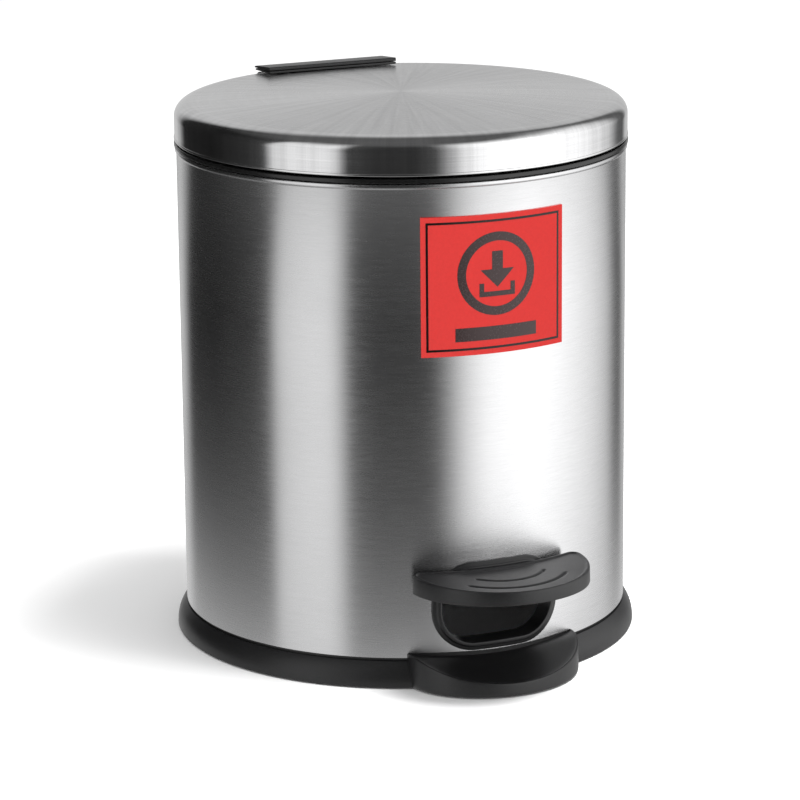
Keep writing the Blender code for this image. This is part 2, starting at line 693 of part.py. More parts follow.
def make_arm(lever, screw_y):
    """Bent steel strap: runs under the pedal plate, over the axle, and back below the lift rod."""
    wide, narrow = ARM_WIDTH / 2, ARM_TAIL_WIDTH / 2
    kink = -6.0 * MM
    front = -(PEDAL_FRONT - 9.0 * MM)
    bend = -(PEDAL_BACK_RADIUS + 1.0 * MM)
    stations = [
        (front, ARM_HEIGHT_AT_WINDOW, wide * 0.7),
        (front + 6 * MM, ARM_HEIGHT_AT_WINDOW, wide),
        (bend, ARM_HEIGHT_AT_WINDOW, wide),
        (kink, arm_tail(kink), wide),
        (14 * MM, arm_tail(14 * MM), wide),
        (34 * MM, arm_tail(34 * MM), narrow),
        (ROD_Y + 3.0 * MM, arm_tail(ROD_Y + 3.0 * MM), narrow),
    ]
    bm = bmesh.new()
    rows = []
    for y, z, half in stations:
        low, high = z - ARM_THICKNESS / 2, z + ARM_THICKNESS / 2
        corners = ((-half, y, low), (half, y, low), (half, y, high), (-half, y, high))
        rows.append([bm.verts.new(corner) for corner in corners])
    bm.faces.new(rows[0])
    bm.faces.new(rows[-1])
    for row, following in zip(rows, rows[1:]):
        for corner in range(4):
            bm.faces.new((row[corner - 1], row[corner], following[corner], following[corner - 1]))
    arm = piece("pedal_arm", bm, "zinc", lever)

    half = ARM_EAR_WIDTH
    ear = [
        (-half, arm_tail(kink)),
        (-half * 0.8, AXLE_HEIGHT),
        (-half * 0.45, AXLE_HEIGHT - half * 0.7),
        (half * 0.45, AXLE_HEIGHT - half * 0.7),
        (half * 0.8, AXLE_HEIGHT),
        (half, arm_tail(half)),
    ]
    for side, sign in (("left", -1), ("right", 1)):
        near, far = sorted((sign * (wide - ARM_THICKNESS), sign * wide))
        join(arm, cutter("arm_ear_" + side, across(ear, near, far), lever))
    bore = bar(AXLE_RADIUS + FIT_GAP, (-2 * wide, 0, AXLE_HEIGHT), (2 * wide, 0, AXLE_HEIGHT))
    cut(arm, cutter("arm_bore", bore, lever))
    for name, x in (("left", -PEDAL_SCREW_SPREAD), ("right", PEDAL_SCREW_SPREAD)):
        hole = bar(SCREW_HOLE, (x, screw_y, 0.0), (x, screw_y, PEDAL_TOP))
        cut(arm, cutter("arm_screw_hole_" + name, hole, lever))


def rod_places():
    """Heights of the ball ends of the lift rod at rest."""
    lever_top = arm_tail(ROD_Y) + ARM_THICKNESS / 2 / math.cos(TAIL_ANGLE)
    foot = lever_top + (ROD_FOOT_RADIUS + LEVER_GAP) / math.cos(TAIL_ANGLE)
    pad = HINGE_Z - (HINGE_Y - ROD_Y) * math.tan(LID_SWING / 2)
    tip = pad - ROD_TIP_RADIUS / math.cos(LID_SWING / 2) - LID_PAD_GAP
    return foot, tip


def make_rod(slider, body):
    foot, tip = rod_places()
    rod_low, rod_high = foot + 1.0 * MM, tip - 1.0 * MM
    piece("lift_rod", bar(ROD_RADIUS, (0, ROD_Y, rod_low), (0, ROD_Y, rod_high)), "zinc", slider)
    bore = ROD_RADIUS + FIT_GAP
    for name, radius, middle, sign, depth in (
        ("rod_foot", ROD_FOOT_RADIUS, foot, 1, 7.0 * MM),
        ("rod_tip", ROD_TIP_RADIUS, tip, -1, ROD_TIP_LENGTH),
    ):
        ball = arc((0.0, 0.0), radius, radius, -90.0, 0.0, 4)
        ball[0] = (0.0, -radius)
        cup = ball + [(radius, depth), (bore, depth), (bore, 1.0 * MM - FIT_GAP), (0.0, 1.0 * MM - FIT_GAP)]
        solid = turned_along(cup, (0, ROD_Y, middle), (0, 0, sign))
        piece(name, solid, "grey_plastic", slider)

    for name, share in GUIDE_SHARES.items():
        middle = FLOOR_TOP + (SHELL_TOP - COLLAR_DEPTH - FLOOR_TOP) * share
        low, high = middle - GUIDE_HEIGHT / 2, middle + GUIDE_HEIGHT / 2
        half = GUIDE_WIDTH / 2
        front = ROD_Y - ROD_RADIUS - 1.4 * MM
        guide = block((-half, front, low), (half, SPIGOT_RADIUS - FIT_GAP, high))
        item = piece("rod_guide_" + name, guide, "zinc", body)
        cut(item, cutter("guide_bore_" + name, bar(bore, (0, ROD_Y, low - MM), (0, ROD_Y, high + MM)), body))


def make_bracket(shell, body):
    """Hinge bracket on the outside of the tube, held by two screws from inside."""
    plate_inner = SHELL_RADIUS + FIT_GAP
    half = KNUCKLE_WIDTH / 2 + FIT_GAP + BRACKET_EAR_WALL
    top = SHELL_TOP - 2.8 * SHELL_BEAD - FIT_GAP
    plate_outer = plate_inner + BRACKET_PLATE
    angle = math.asin(half / plate_outer)
    bottom = top - BRACKET_HEIGHT
    plate = curved_plate(plate_inner, plate_outer, angle, bottom, top, math.pi / 2, 6)
    bracket = piece("hinge_bracket", plate, "black_plastic", body)
    ear_inner = KNUCKLE_WIDTH / 2 + FIT_GAP
    front = math.sqrt(plate_outer**2 - ear_inner**2) - BRACKET_EAR_ROOT
    around = arc((HINGE_Y, HINGE_Z), BRACKET_EAR_RADIUS, BRACKET_EAR_RADIUS, -30.0, 180.0, 7)
    ear = [(front, top - 16 * MM), (plate_outer, top - 16 * MM), *around, (front, COLLAR_TOP)]
    for side, sign in (("left", -1), ("right", 1)):
        near, far = sorted((sign * ear_inner, sign * half))
        join(bracket, cutter("bracket_ear_" + side, across(ear, near, far), body))
    bore = bar(HINGE_PIN_RADIUS + FIT_GAP, (-2 * half, HINGE_Y, HINGE_Z), (2 * half, HINGE_Y, HINGE_Z))
    cut(bracket, cutter("bracket_bore", bore, body))

    height = (bottom + SHELL_TOP - COLLAR_DEPTH) / 2 - 1.0 * MM
    length = plate_outer - 0.8 * MM - (SHELL_INNER - FIT_GAP)
    for name, sign in (("left", -1), ("right", 1)):
        out = Vector((math.sin(sign * BRACKET_SCREW_ANGLE), math.cos(BRACKET_SCREW_ANGLE), 0.0))
        seat = out * (SHELL_INNER - FIT_GAP) + Vector((0, 0, height))
        piece("bracket_screw_" + name, turned_along(screw_profile(length), seat, out, 12), "zinc", body)
        hole = bar(SCREW_HOLE, seat - out * 5 * MM, seat + out * (length + 0.3 * MM))
        tool = cutter("bracket_hole_" + name, hole, body)
        cut(shell, tool)
        cut(bracket, tool)

    head = half + FIT_GAP
    pin = [
        (0.0, -head - 1.4 * MM),
        (1.7 * HINGE_PIN_RADIUS, -head - 1.4 * MM),
        (1.7 * HINGE_PIN_RADIUS, -head),
        (HINGE_PIN_RADIUS, -head),
        (HINGE_PIN_RADIUS, head + 2.4 * MM),
        (0.0, head + 2.4 * MM),
    ]
    piece("hinge_pin", turned_along(pin, (0, HINGE_Y, HINGE_Z), (1, 0, 0)), "zinc", body)
    washer = [
        (HINGE_PIN_RADIUS + FIT_GAP, 0.0),
        (1.9 * HINGE_PIN_RADIUS, 0.0),
        (1.9 * HINGE_PIN_RADIUS, CLIP_THICKNESS),
        (HINGE_PIN_RADIUS + FIT_GAP, CLIP_THICKNESS),
    ]
    piece("hinge_pin_clip", turned_along(washer, (head, HINGE_Y, HINGE_Z), (1, 0, 0)), "zinc", body)


def tongue_outline():
    """Lid lever as (y, z): its underside lies on a plane through the hinge pin."""
    slope = LID_SWING / 2
    along = Vector((-math.cos(slope), -math.sin(slope)))
    up = Vector((-math.sin(slope), math.cos(slope)))
    pin = Vector((HINGE_Y, HINGE_Z))
    corners = [pin, pin + along * TONGUE_REACH, pin + along * (TONGUE_REACH - MM) + up * TONGUE_THICKNESS]
    corners.append(pin + up * TONGUE_THICKNESS)
    return [tuple(corner) for corner in corners]


def make_lid(hinge):
    skirt = [
        (LID_RADIUS, LID_SHOULDER_BOTTOM),
        (LID_RADIUS, LID_BOTTOM + MM),
        (LID_RADIUS + 0.3 * MM, LID_BOTTOM),
    ]
    inner = LID_RADIUS - LID_WALL
    outside = list(reversed(lid_crown(0.0))) + list(reversed(lid_shoulder(0.0, 18.0, 90.0, 5))) + skirt
    inside = [(inner, LID_BOTTOM), (inner, LID_SHOULDER_BOTTOM)]
    inside += lid_shoulder(-LID_WALL, 22.5, 90.0, 3) + lid_crown(-LID_WALL)
    lid = piece("lid_shell", turned(outside + inside), "lid_steel", hinge)

    grow = -(LID_WALL + FIT_GAP)
    rim_inner = LINER_RADIUS - LINER_RIM_WIDTH
    outside = list(reversed(lid_crown(grow))) + list(reversed(lid_shoulder(grow, 0.0, 90.0, 3)))
    inside = [(LINER_RADIUS, LINER_BOTTOM), (rim_inner, LINER_BOTTOM), (rim_inner, LID_SHOULDER_BOTTOM)]
    inside += [(radius, height) for radius, height in lid_crown(grow - LINER_WALL) if radius < rim_inner]
    inside.insert(3, (rim_inner - 3 * MM, liner_seat()))
    liner = piece("lid_liner", turned(outside + inside), "grey_plastic", hinge)

    half = TONGUE_WIDTH / 2 + MM
    slope = math.tan(LID_SWING / 2)
    tongue_top = HINGE_Z - (HINGE_Y - LID_RADIUS) * slope + TONGUE_THICKNESS / math.cos(LID_SWING / 2)
    front, back = rim_inner - 4 * MM, LID_RADIUS + 3 * MM
    gate = block((-half, front, LID_BOTTOM - 5 * MM), (half, back, tongue_top + 0.5 * MM))
    tool = cutter("lid_gate", gate, hinge)
    cut(lid, tool)
    cut(liner, tool)

    middle = LINER_RADIUS - LINER_RIM_WIDTH / 2
    for place, angle in BUMPER_ANGLES.items():
        x, y = middle * math.cos(math.radians(angle)), middle * math.sin(math.radians(angle))
        bumper = bar(BUMPER_RADIUS, (x, y, COLLAR_TOP + FIT_GAP), (x, y, LINER_BOTTOM - FIT_GAP))
        piece("lid_bumper_" + place, bumper, "rubber", hinge)
    return lid, liner


def leaf_top(y):
    """Height of the top of the hinge leaf, which slopes down to the back."""
    leaf_front = LID_RADIUS - CAP_FRONT
    return lid_top(leaf_front) + FIT_GAP + LEAF_THICKNESS - CAP_FALL * (y - leaf_front) / CAP_DEPTH


def make_hinge_leaf(hinge, lid, liner):
    """Moulding on the lid: knuckle, lid lever, and the leaf that lies on the lid under the cap."""
    half = KNUCKLE_WIDTH / 2
    leaf_front = LID_RADIUS - CAP_FRONT
    leaf_back = leaf_front + CAP_DEPTH

    knuckle = turned_along(
        [(0.0, -half), (KNUCKLE_RADIUS, -half), (KNUCKLE_RADIUS, half), (0.0, half)],
        (0, HINGE_Y, HINGE_Z), (1, 0, 0), 20,
    )
    leaf_item = piece("lid_hinge_leaf", knuckle, "black_plastic", hinge)
    tongue = across(tongue_outline(), -TONGUE_WIDTH / 2, TONGUE_WIDTH / 2)
    gap = 2 * FIT_GAP
    shoulder = list(reversed(lid_shoulder(gap, 0.0, 84.0, 4)))
    strap = shoulder + [
        (HINGE_Y - 2.5 * MM, LID_SHOULDER_BOTTOM - 2.0 * MM),
        (HINGE_Y + 1.5 * MM, HINGE_Z + KNUCKLE_RADIUS * 0.7),
        (HINGE_Y - 1.5 * MM, HINGE_Z + KNUCKLE_RADIUS + 1.5 * MM),
        (LID_RADIUS + 2.0 * MM, leaf_top(leaf_back) - 1.8 * MM),
        (LID_RADIUS - 2.0 * MM, leaf_top(leaf_back) - 0.3 * MM),
        (shoulder[0][0], leaf_top(shoulder[0][0])),
    ]
    plate = [
        (leaf_front, lid_top(leaf_front) + FIT_GAP),
        (LID_SHOULDER_RADIUS, LID_EDGE + gap),
        *list(reversed(lid_shoulder(gap, 77.0, 84.0, 1))),
        (leaf_back, leaf_top(leaf_back)),
        (leaf_front, leaf_top(leaf_front)),
    ]
    join(
        leaf_item,
        cutter("leaf_tongue", tongue, hinge),
        cutter("leaf_strap", across(strap, -half + MM, half - MM), hinge),
        cutter("leaf_plate", across(plate, -CAP_WIDTH / 2, CAP_WIDTH / 2), hinge),
    )
    bore = bar(HINGE_PIN_RADIUS + FIT_GAP, (-2 * half, HINGE_Y, HINGE_Z), (2 * half, HINGE_Y, HINGE_Z))
    cut(leaf_item, cutter("leaf_bore", bore, hinge))

    cap_front, cap_back = leaf_top(leaf_front) + FIT_GAP, leaf_top(leaf_back + MM) + FIT_GAP
    cap = [
        (leaf_front, cap_front),
        (leaf_back + MM, cap_back),
        (leaf_back + MM, cap_back + 0.4 * MM),
        (leaf_back - MM, cap_back + CAP_THICKNESS - 0.7 * MM),
        (leaf_front + CAP_CHAMFER, cap_front + CAP_THICKNESS),
        (leaf_front, cap_front + CAP_THICKNESS - CAP_CHAMFER),
    ]
    piece("hinge_cap", across(cap, -CAP_WIDTH / 2, CAP_WIDTH / 2), "black_plastic", hinge)

    screw_y = leaf_front + 9.0 * MM
    under = liner_seat() - FIT_GAP
    for name, x in (("left", -LID_SCREW_SPREAD), ("right", LID_SCREW_SPREAD)):
        length = leaf_top(screw_y) - 0.2 * MM - under
        screw = turned_along(screw_profile(length), (x, screw_y, under), (0, 0, 1), 12)
        piece("lid_screw_" + name, screw, "zinc", hinge)
        hole = bar(SCREW_HOLE, (x, screw_y, under - 5 * MM), (x, screw_y, leaf_top(screw_y) + 0.15 * MM))
        tool = cutter("lid_screw_hole_" + name, hole, hinge)
        for item in (lid, liner, leaf_item):
            cut(item, tool)


def make_bucket(lifter):
    wall_outer = BUCKET_LIP_RADIUS - BUCKET_LIP
    foot = wall_outer - BUCKET_DRAFT
    low = BUCKET_BOTTOM
    bucket = piece(
        "inner_bucket",
        turned([
            (0.0, low),
            (foot - 2 * MM, low),
            (foot, low + 2 * MM),
            (wall_outer, BUCKET_RIM - 6 * MM),
            (BUCKET_LIP_RADIUS, BUCKET_RIM - 5 * MM),
            (BUCKET_LIP_RADIUS, BUCKET_RIM),
            (wall_outer - BUCKET_WALL, BUCKET_RIM),
            (foot - BUCKET_WALL, low + 3.4 * MM),
            (foot - BUCKET_WALL - 2 * MM, low + BUCKET_WALL),
            (0.0, low + BUCKET_WALL),
        ], BUCKET_ROUND),
        "grey_plastic",
        lifter,
    )
    ear_top = BAIL_Z + 3.6 * MM
    half = BAIL_EAR_WIDTH / 2
    ear = [(-half, BUCKET_RIM - 2 * MM), (half, BUCKET_RIM - 2 * MM), (half, BAIL_Z), (half * 0.5, ear_top)]
    ear += [(-half * 0.5, ear_top), (-half, BAIL_Z)]
    for side, sign in (("left", -1), ("right", 1)):
        near, far = sorted((sign * BAIL_EAR_FACE, sign * (BAIL_EAR_FACE + BAIL_EAR_WALL)))
        join(bucket, cutter("bucket_ear_" + side, across(ear, near, far), lifter))
        start, end = sign * (BAIL_EAR_FACE - 2 * MM), sign * 2 * BAIL_EAR_FACE
        hole = bar(BAIL_WIRE_RADIUS + FIT_GAP, (start, 0, BAIL_Z), (end, 0, BAIL_Z))
        cut(bucket, cutter("bucket_ear_bore_" + side, hole, lifter))


def make_bail(swing):
    """Wire bail whose ends turn outwards into the bucket's ears, with a grip on its flat middle."""
    end = BUCKET_LIP_RADIUS + 0.6 * MM
    inside_ear = BAIL_EAR_FACE - BAIL_WIRE_RADIUS - FIT_GAP
    grip_y = BAIL_SAG - BAIL_RADIUS
    start = math.acos(-grip_y / BAIL_RADIUS)
    stop = math.pi / 2 - 12.0 * MM / BAIL_RADIUS
    count = 12
    sweep = [start + (stop - start) * index / count for index in range(count + 1)]
    half = [(BAIL_RADIUS * math.sin(angle), -BAIL_RADIUS * math.cos(angle)) for angle in sweep]
    half += [(inside_ear, -6.5 * MM), (inside_ear, -2.2 * MM), (inside_ear + 0.6 * MM, -0.6 * MM)]
    half += [(inside_ear + 2.2 * MM, 0.0), (end, 0.0)]
    points = [(-x, y) for x, y in reversed(half)] + half
    curve = bpy.data.curves.new("bail_wire", "CURVE")
    curve.dimensions = "3D"
    curve.bevel_depth = BAIL_WIRE_RADIUS
    curve.bevel_resolution = 2
    curve.use_fill_caps = True
    spline = curve.splines.new("POLY")
    spline.points.add(len(points) - 1)
    for point, (x, y) in zip(spline.points, points):
        point.co = (x, y, 0.0, 1.0)
    curve.materials.append(finish_material("bail_wire", "zinc"))
    wire = bpy.data.objects.new("bail_wire", curve)
    bpy.context.collection.objects.link(wire)
    wire.parent = swing

    reach = BAIL_GRIP_LENGTH / 2
    bore = BAIL_WIRE_RADIUS + FIT_GAP
    tube = [
        (bore, -reach),
        (BAIL_GRIP_RADIUS - MM, -reach),
        (BAIL_GRIP_RADIUS, -reach + MM),
        (BAIL_GRIP_RADIUS, reach - MM),
        (BAIL_GRIP_RADIUS - MM, reach),
        (bore, reach),
    ]
    piece("bail_grip", turned_along(tube, (0, grip_y, BAIL_Z), (1, 0, 0)), "grey_plastic", swing)


def build():
    empty_scene()
    body = holder("bin_axis", (0.0, AXIS_Y, 0.0))
    lever = holder("pedal_pivot", (0.0, 0.0, AXLE_HEIGHT), body)
    slider = holder("rod_line", (0.0, ROD_Y, 0.0), body)
    hinge = holder("lid_pivot", (0.0, HINGE_Y, HINGE_Z), body)
    lifter = holder("bucket_line", (0.0, 0.0, BUCKET_BOTTOM), body)
    swing = holder("bail_pivot", (0.0, 0.0, BAIL_Z), body)

    shell = make_shell(body)
    make_collar(body)
    base = make_base(body)
    make_window(shell, base, body)
    make_label(body)
    make_axle(body)
    screw_y = make_pedal(lever)
    make_arm(lever, screw_y)
    make_rod(slider, body)
    make_bracket(shell, body)
    lid, liner = make_lid(hinge)
    make_hinge_leaf(hinge, lid, liner)
    make_bucket(lifter)
    make_bail(swing)


build()
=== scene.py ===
# %% [markdown]
# # A step-on waste bin
# The bin is a brushed steel tube with a spun steel lid, black moulded trims and a foot pedal. Every piece
# is built here as a fine mesh round a mechanism that is already designed: the frame. The frame gives each
# piece its place and says which moving body carries it.

# %% Load the frame
import math

import bmesh
import bpy
from mathutils import Matrix, Vector


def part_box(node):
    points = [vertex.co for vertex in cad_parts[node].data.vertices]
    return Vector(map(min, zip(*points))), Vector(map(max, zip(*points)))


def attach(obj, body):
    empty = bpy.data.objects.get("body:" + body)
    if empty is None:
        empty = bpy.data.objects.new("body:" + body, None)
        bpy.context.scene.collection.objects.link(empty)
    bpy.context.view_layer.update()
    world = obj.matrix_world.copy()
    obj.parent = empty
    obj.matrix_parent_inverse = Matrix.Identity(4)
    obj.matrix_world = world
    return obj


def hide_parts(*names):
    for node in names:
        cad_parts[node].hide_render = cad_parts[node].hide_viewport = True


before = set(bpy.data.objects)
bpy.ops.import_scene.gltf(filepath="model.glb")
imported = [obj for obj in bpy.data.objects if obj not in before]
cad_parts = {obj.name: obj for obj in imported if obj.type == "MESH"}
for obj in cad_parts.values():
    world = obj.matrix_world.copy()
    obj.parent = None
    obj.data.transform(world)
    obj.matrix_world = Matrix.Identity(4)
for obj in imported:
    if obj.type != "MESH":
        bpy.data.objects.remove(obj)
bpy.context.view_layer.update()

# %% [markdown]
# ## Sizes
# Sizes that other pieces share are read from the frame, so a new frame moves the looks with it. Those that
# only matter to the eye, such as a bead or a groove, are set next to the piece they belong to.

# %% Read the shared sizes
MM = 0.001
tube_low, tube_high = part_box("body_shell")
collar_low, collar_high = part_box("top_collar")
lid_low, lid_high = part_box("lid_shell")
base_low, base_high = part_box("base")
bezel_low, bezel_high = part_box("pedal_bezel")
pedal_low, pedal_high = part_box("pedal_plate")
liner_low, liner_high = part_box("lid_liner")
bucket_low, bucket_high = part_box("inner_bucket")
cap_low, cap_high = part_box("hinge_cap")
pin_low, pin_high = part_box("hinge_pin")

BEAD = 0.6 * MM
axis_y = (tube_low.y + tube_high.y) / 2
tube_radius = (tube_high.x - tube_low.x) / 2 - BEAD
base_radius = (base_high.x - base_low.x) / 2
collar_radius = (collar_high.x - collar_low.x) / 2
lid_radius = (lid_high.x - lid_low.x) / 2 - 0.3 * MM
skirt_top = tube_low.z - 1.5 * MM
hinge_y = (pin_low.y + pin_high.y) / 2 - axis_y
hinge_z = (pin_low.z + pin_high.z) / 2
print(f"tube {2 * tube_radius / MM:.1f} mm across, bin axis at y {axis_y / MM:.1f} mm")

# %% [markdown]
# ## Helpers for shapes
# Nearly every piece is a stack of rings: a turned part has round rings, a moulding has rings that follow its
# outline. One function skins such a stack with quads. A second one softens the corners of a profile, because
# no moulded or pressed edge is perfectly sharp, and the soft edge is what catches the light.

# %% Skin a stack of rings
def skin(rings, loop=False):
    """Mesh over rings of equal length. With loop the last ring joins the first, else the ends are capped."""
    bm = bmesh.new()
    rows = [[bm.verts.new(point) for point in ring] for ring in rings]
    pairs = list(zip(rows, rows[1:]))
    if loop:
        pairs.append((rows[-1], rows[0]))
    for row, following in pairs:
        for index in range(len(row)):
            bm.faces.new((row[index - 1], row[index], following[index], following[index - 1]))
    if not loop:
        bm.faces.new(rows[0])
        bm.faces.new(rows[-1])
    bmesh.ops.remove_doubles(bm, verts=bm.verts, dist=0.002 * MM)
    bmesh.ops.recalc_face_normals(bm, faces=bm.faces)
    return bm


# %% Soften a profile's corners
def soft(corners, steps=5, closed=True):
    """Profile from (across, up, radius) corners, each rounded by its radius."""
    points = []
    count = len(corners)
    for index, (across, up, radius) in enumerate(corners):
        here = Vector((across, up))
        if radius == 0.0 or (not closed and index in (0, count - 1)):
            points.append(tuple(here))
            continue
        before = Vector(corners[index - 1][:2]) - here
        after = Vector(corners[(index + 1) % count][:2]) - here
        half = before.angle(after) / 2
        cut = min(radius / math.tan(half), 0.49 * before.length, 0.49 * after.length)
        start, end = here + before.normalized() * cut, here + after.normalized() * cut
        for step in range(steps + 1):
            share = step / steps
            point = start * (1 - share) ** 2 + here * 2 * share * (1 - share) + end * share**2
            points.append(tuple(point))
    return points


# %% Turn a profile round the bin's axis
def turn(profile, steps=240, centre=(0.0, 0.0)):
    """Rings of a closed (radius, height) profile."""
    angles = [math.tau * step / steps for step in range(steps)]
    return [
        [(centre[0] + radius * math.cos(angle), centre[1] + radius * math.sin(angle), height)
         for angle in angles]
        for radius, height in profile
    ]


def curve_points(centre, across, up, start, end, steps):
    """Points of an ellipse's arc, angles in degrees."""
    angles = [math.radians(start + (end - start) * step / steps) for step in range(steps + 1)]
    return [(centre[0] + across * math.cos(a), centre[1] + up * math.sin(a)) for a in angles]


# %% Put a mesh into the scene
def settle(name, bm, material, body, *stands_for, slot=None, moved=True):
    """Finish a mesh built round the bin's axis: shade it, place it, give it its body and its finish."""
    if moved:
        bm.transform(Matrix.Translation((0.0, axis_y, 0.0)))
    mesh = bpy.data.meshes.new(name)
    bm.to_mesh(mesh)
    bm.free()
    mesh.shade_smooth()
    mesh.set_sharp_from_angle(angle=math.radians(40.0))
    piece = bpy.data.objects.new(name, mesh)
    bpy.context.scene.collection.objects.link(piece)
    mesh.materials.append(material)
    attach(piece, body)
    if stands_for:
        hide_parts(*stands_for)
    print(f"{name}: {len(mesh.polygons)} faces")
    return piece


def edge_round(piece, width, segments=3, angle=30.0):
    """Round a machined or moulded piece's edges."""
    step = piece.modifiers.new("edge_round", "BEVEL")
    step.width = width
    step.segments = segments
    step.limit_method = "ANGLE"
    step.angle_limit = math.radians(angle)
    step.harden_normals = False


def hollowed(piece, bm, name):
    """Take a shape away from a piece, and keep the result in its mesh."""
    bm.transform(Matrix.Translation((0.0, axis_y, 0.0)))
    mesh = bpy.data.meshes.new(name)
    bm.to_mesh(mesh)
    bm.free()
    tool = bpy.data.objects.new(name, mesh)
    bpy.context.scene.collection.objects.link(tool)
    step = piece.modifiers.new(name, "BOOLEAN")
    step.operation = "DIFFERENCE"
    step.solver = "EXACT"
    step.object = tool
    bpy.context.view_layer.update()
    result = bpy.data.meshes.new_from_object(piece.evaluated_get(bpy.context.evaluated_depsgraph_get()))
    piece.modifiers.remove(step)
    piece.data = result
    result.shade_smooth()
    result.set_sharp_from_angle(angle=math.radians(40.0))
    bpy.data.objects.remove(tool, do_unlink=True)


def prism_along(profile, start, end, axis="X"):
    """Straight bar with a closed profile. Along X the profile is (y, z); along Y (x, z); along Z (x, y)."""
    place = {
        "X": lambda u, v, along: (along, u, v),
        "Y": lambda u, v, along: (u, along, v),
        "Z": lambda u, v, along: (u, v, along),
    }[axis]
    return skin([[place(u, v, along) for u, v in profile] for along in (start, end)])


# %% [markdown]
# ## Helpers for finishes
# Brushed and spun steel get their looks from fine scratches that all run round the bin. The scratches are
# noise that is very long round the bin and very short across, so one group builds that coordinate for the
# tube, the lid's top and the rolled edges alike. Moulded plastic has a fine cast texture instead. Both are
# node groups, so that each material places the same effect with its own values.

# %% Start a node group
def new_group(name, inputs, outputs):
    group = bpy.data.node_groups.new(name, "ShaderNodeTree")
    for label, value in inputs.items():
        socket = group.interface.new_socket(name=label, in_out="INPUT", socket_type="NodeSocketFloat")
        socket.default_value = value
    for label, kind in outputs.items():
        group.interface.new_socket(name=label, in_out="OUTPUT", socket_type=kind)
    entry = group.nodes.new("NodeGroupInput")
    leave = group.nodes.new("NodeGroupOutput")
    return group, entry, leave


def math_node(tree, operation, first, second=None, clamp=False):
    """Math node fed by sockets or numbers; returns its output."""
    node = tree.nodes.new("ShaderNodeMath")
    node.operation = operation
    node.use_clamp = clamp
    for index, value in enumerate((first, second)):
        if value is None:
            continue
        if isinstance(value, (int, float)):
            node.inputs[index].default_value = value
        else:
            tree.links.new(value, node.inputs[index])
    return node.outputs[0]


def noise_node(tree, vector, scale=1.0, detail=2.0, rough=0.5):
    node = tree.nodes.new("ShaderNodeTexNoise")
    node.inputs["Scale"].default_value = scale
    node.inputs["Detail"].default_value = detail
    node.inputs["Roughness"].default_value = rough
    tree.links.new(vector, node.inputs["Vector"])
    return node.outputs["Fac"]


# %% Group: coordinates that follow the turned surface
def turned_coordinates(tree):
    """Angle round the bin from the front, distance from the axis, and height, as three sockets."""
    place = tree.nodes.new("ShaderNodeTexCoord").outputs["Object"]
    parts = tree.nodes.new("ShaderNodeSeparateXYZ")
    tree.links.new(place, parts.inputs[0])
    x, z = parts.outputs["X"], parts.outputs["Z"]
    y = math_node(tree, "SUBTRACT", parts.outputs["Y"], axis_y)
    angle = math_node(tree, "ARCTAN2", x, math_node(tree, "MULTIPLY", y, -1.0))
    squares = math_node(tree, "ADD", math_node(tree, "MULTIPLY", x, x), math_node(tree, "MULTIPLY", y, y))
    return angle, math_node(tree, "SQRT", squares), z


def combine(tree, *sockets):
    node = tree.nodes.new("ShaderNodeCombineXYZ")
    for socket, target in zip(sockets, node.inputs):
        tree.links.new(socket, target)
    return node.outputs[0]


# %% Group: scratches that run round
def build_scratches():
    """Long fine scratches. Length and Width are in metres; Depth feeds the normal."""
    group, entry, leave = new_group(
        "brush_scratches",
        {"Length": 0.04, "Width": 0.0004, "Depth": 0.3},
        {"Scratch": "NodeSocketFloat", "Normal": "NodeSocketVector"},
    )
    angle, radius, height = turned_coordinates(group)
    way_round = math_node(group, "MULTIPLY", angle, tube_radius)
    along = math_node(group, "DIVIDE", way_round, entry.outputs["Length"])
    across = math_node(
        group, "DIVIDE", math_node(group, "SUBTRACT", height, radius), entry.outputs["Width"]
    )
    fine = noise_node(group, combine(group, along, across), detail=3.0, rough=0.6)
    coarse_across = math_node(group, "MULTIPLY", across, 0.21)
    coarse_along = math_node(group, "MULTIPLY", along, 0.4)
    coarse = noise_node(group, combine(group, coarse_along, coarse_across), detail=2.0)
    total = math_node(
        group, "ADD", math_node(group, "MULTIPLY", fine, 0.65), math_node(group, "MULTIPLY", coarse, 0.35)
    )
    bump = group.nodes.new("ShaderNodeBump")
    bump.inputs["Distance"].default_value = 0.00002
    group.links.new(entry.outputs["Depth"], bump.inputs["Strength"])
    group.links.new(total, bump.inputs["Height"])
    group.links.new(total, leave.inputs["Scratch"])
    group.links.new(bump.outputs[0], leave.inputs["Normal"])
    return group


scratches = build_scratches()


# %% Group: cast texture of moulded plastic
def build_cast_texture():
    """Fine pebbled texture of a moulding, and slow patches where it was handled."""
    group, entry, leave = new_group(
        "cast_texture",
        {"Grain": 0.0005, "Depth": 0.3},
        {"Pebble": "NodeSocketFloat", "Patch": "NodeSocketFloat", "Normal": "NodeSocketVector"},
    )
    place = group.nodes.new("ShaderNodeTexCoord").outputs["Object"]
    scaled = group.nodes.new("ShaderNodeVectorMath")
    scaled.operation = "SCALE"
    group.links.new(place, scaled.inputs[0])
    group.links.new(math_node(group, "DIVIDE", 1.0, entry.outputs["Grain"]), scaled.inputs["Scale"])
    pebble = noise_node(group, scaled.outputs[0], detail=2.0, rough=0.6)
    patch = noise_node(group, place, scale=38.0, detail=3.0, rough=0.6)
    bump = group.nodes.new("ShaderNodeBump")
    bump.inputs["Distance"].default_value = 0.00004
    group.links.new(entry.outputs["Depth"], bump.inputs["Strength"])
    group.links.new(pebble, bump.inputs["Height"])
    group.links.new(pebble, leave.inputs["Pebble"])
    group.links.new(patch, leave.inputs["Patch"])
    group.links.new(bump.outputs[0], leave.inputs["Normal"])
    return group


cast_texture = build_cast_texture()
print("groups:", scratches.name, cast_texture.name)


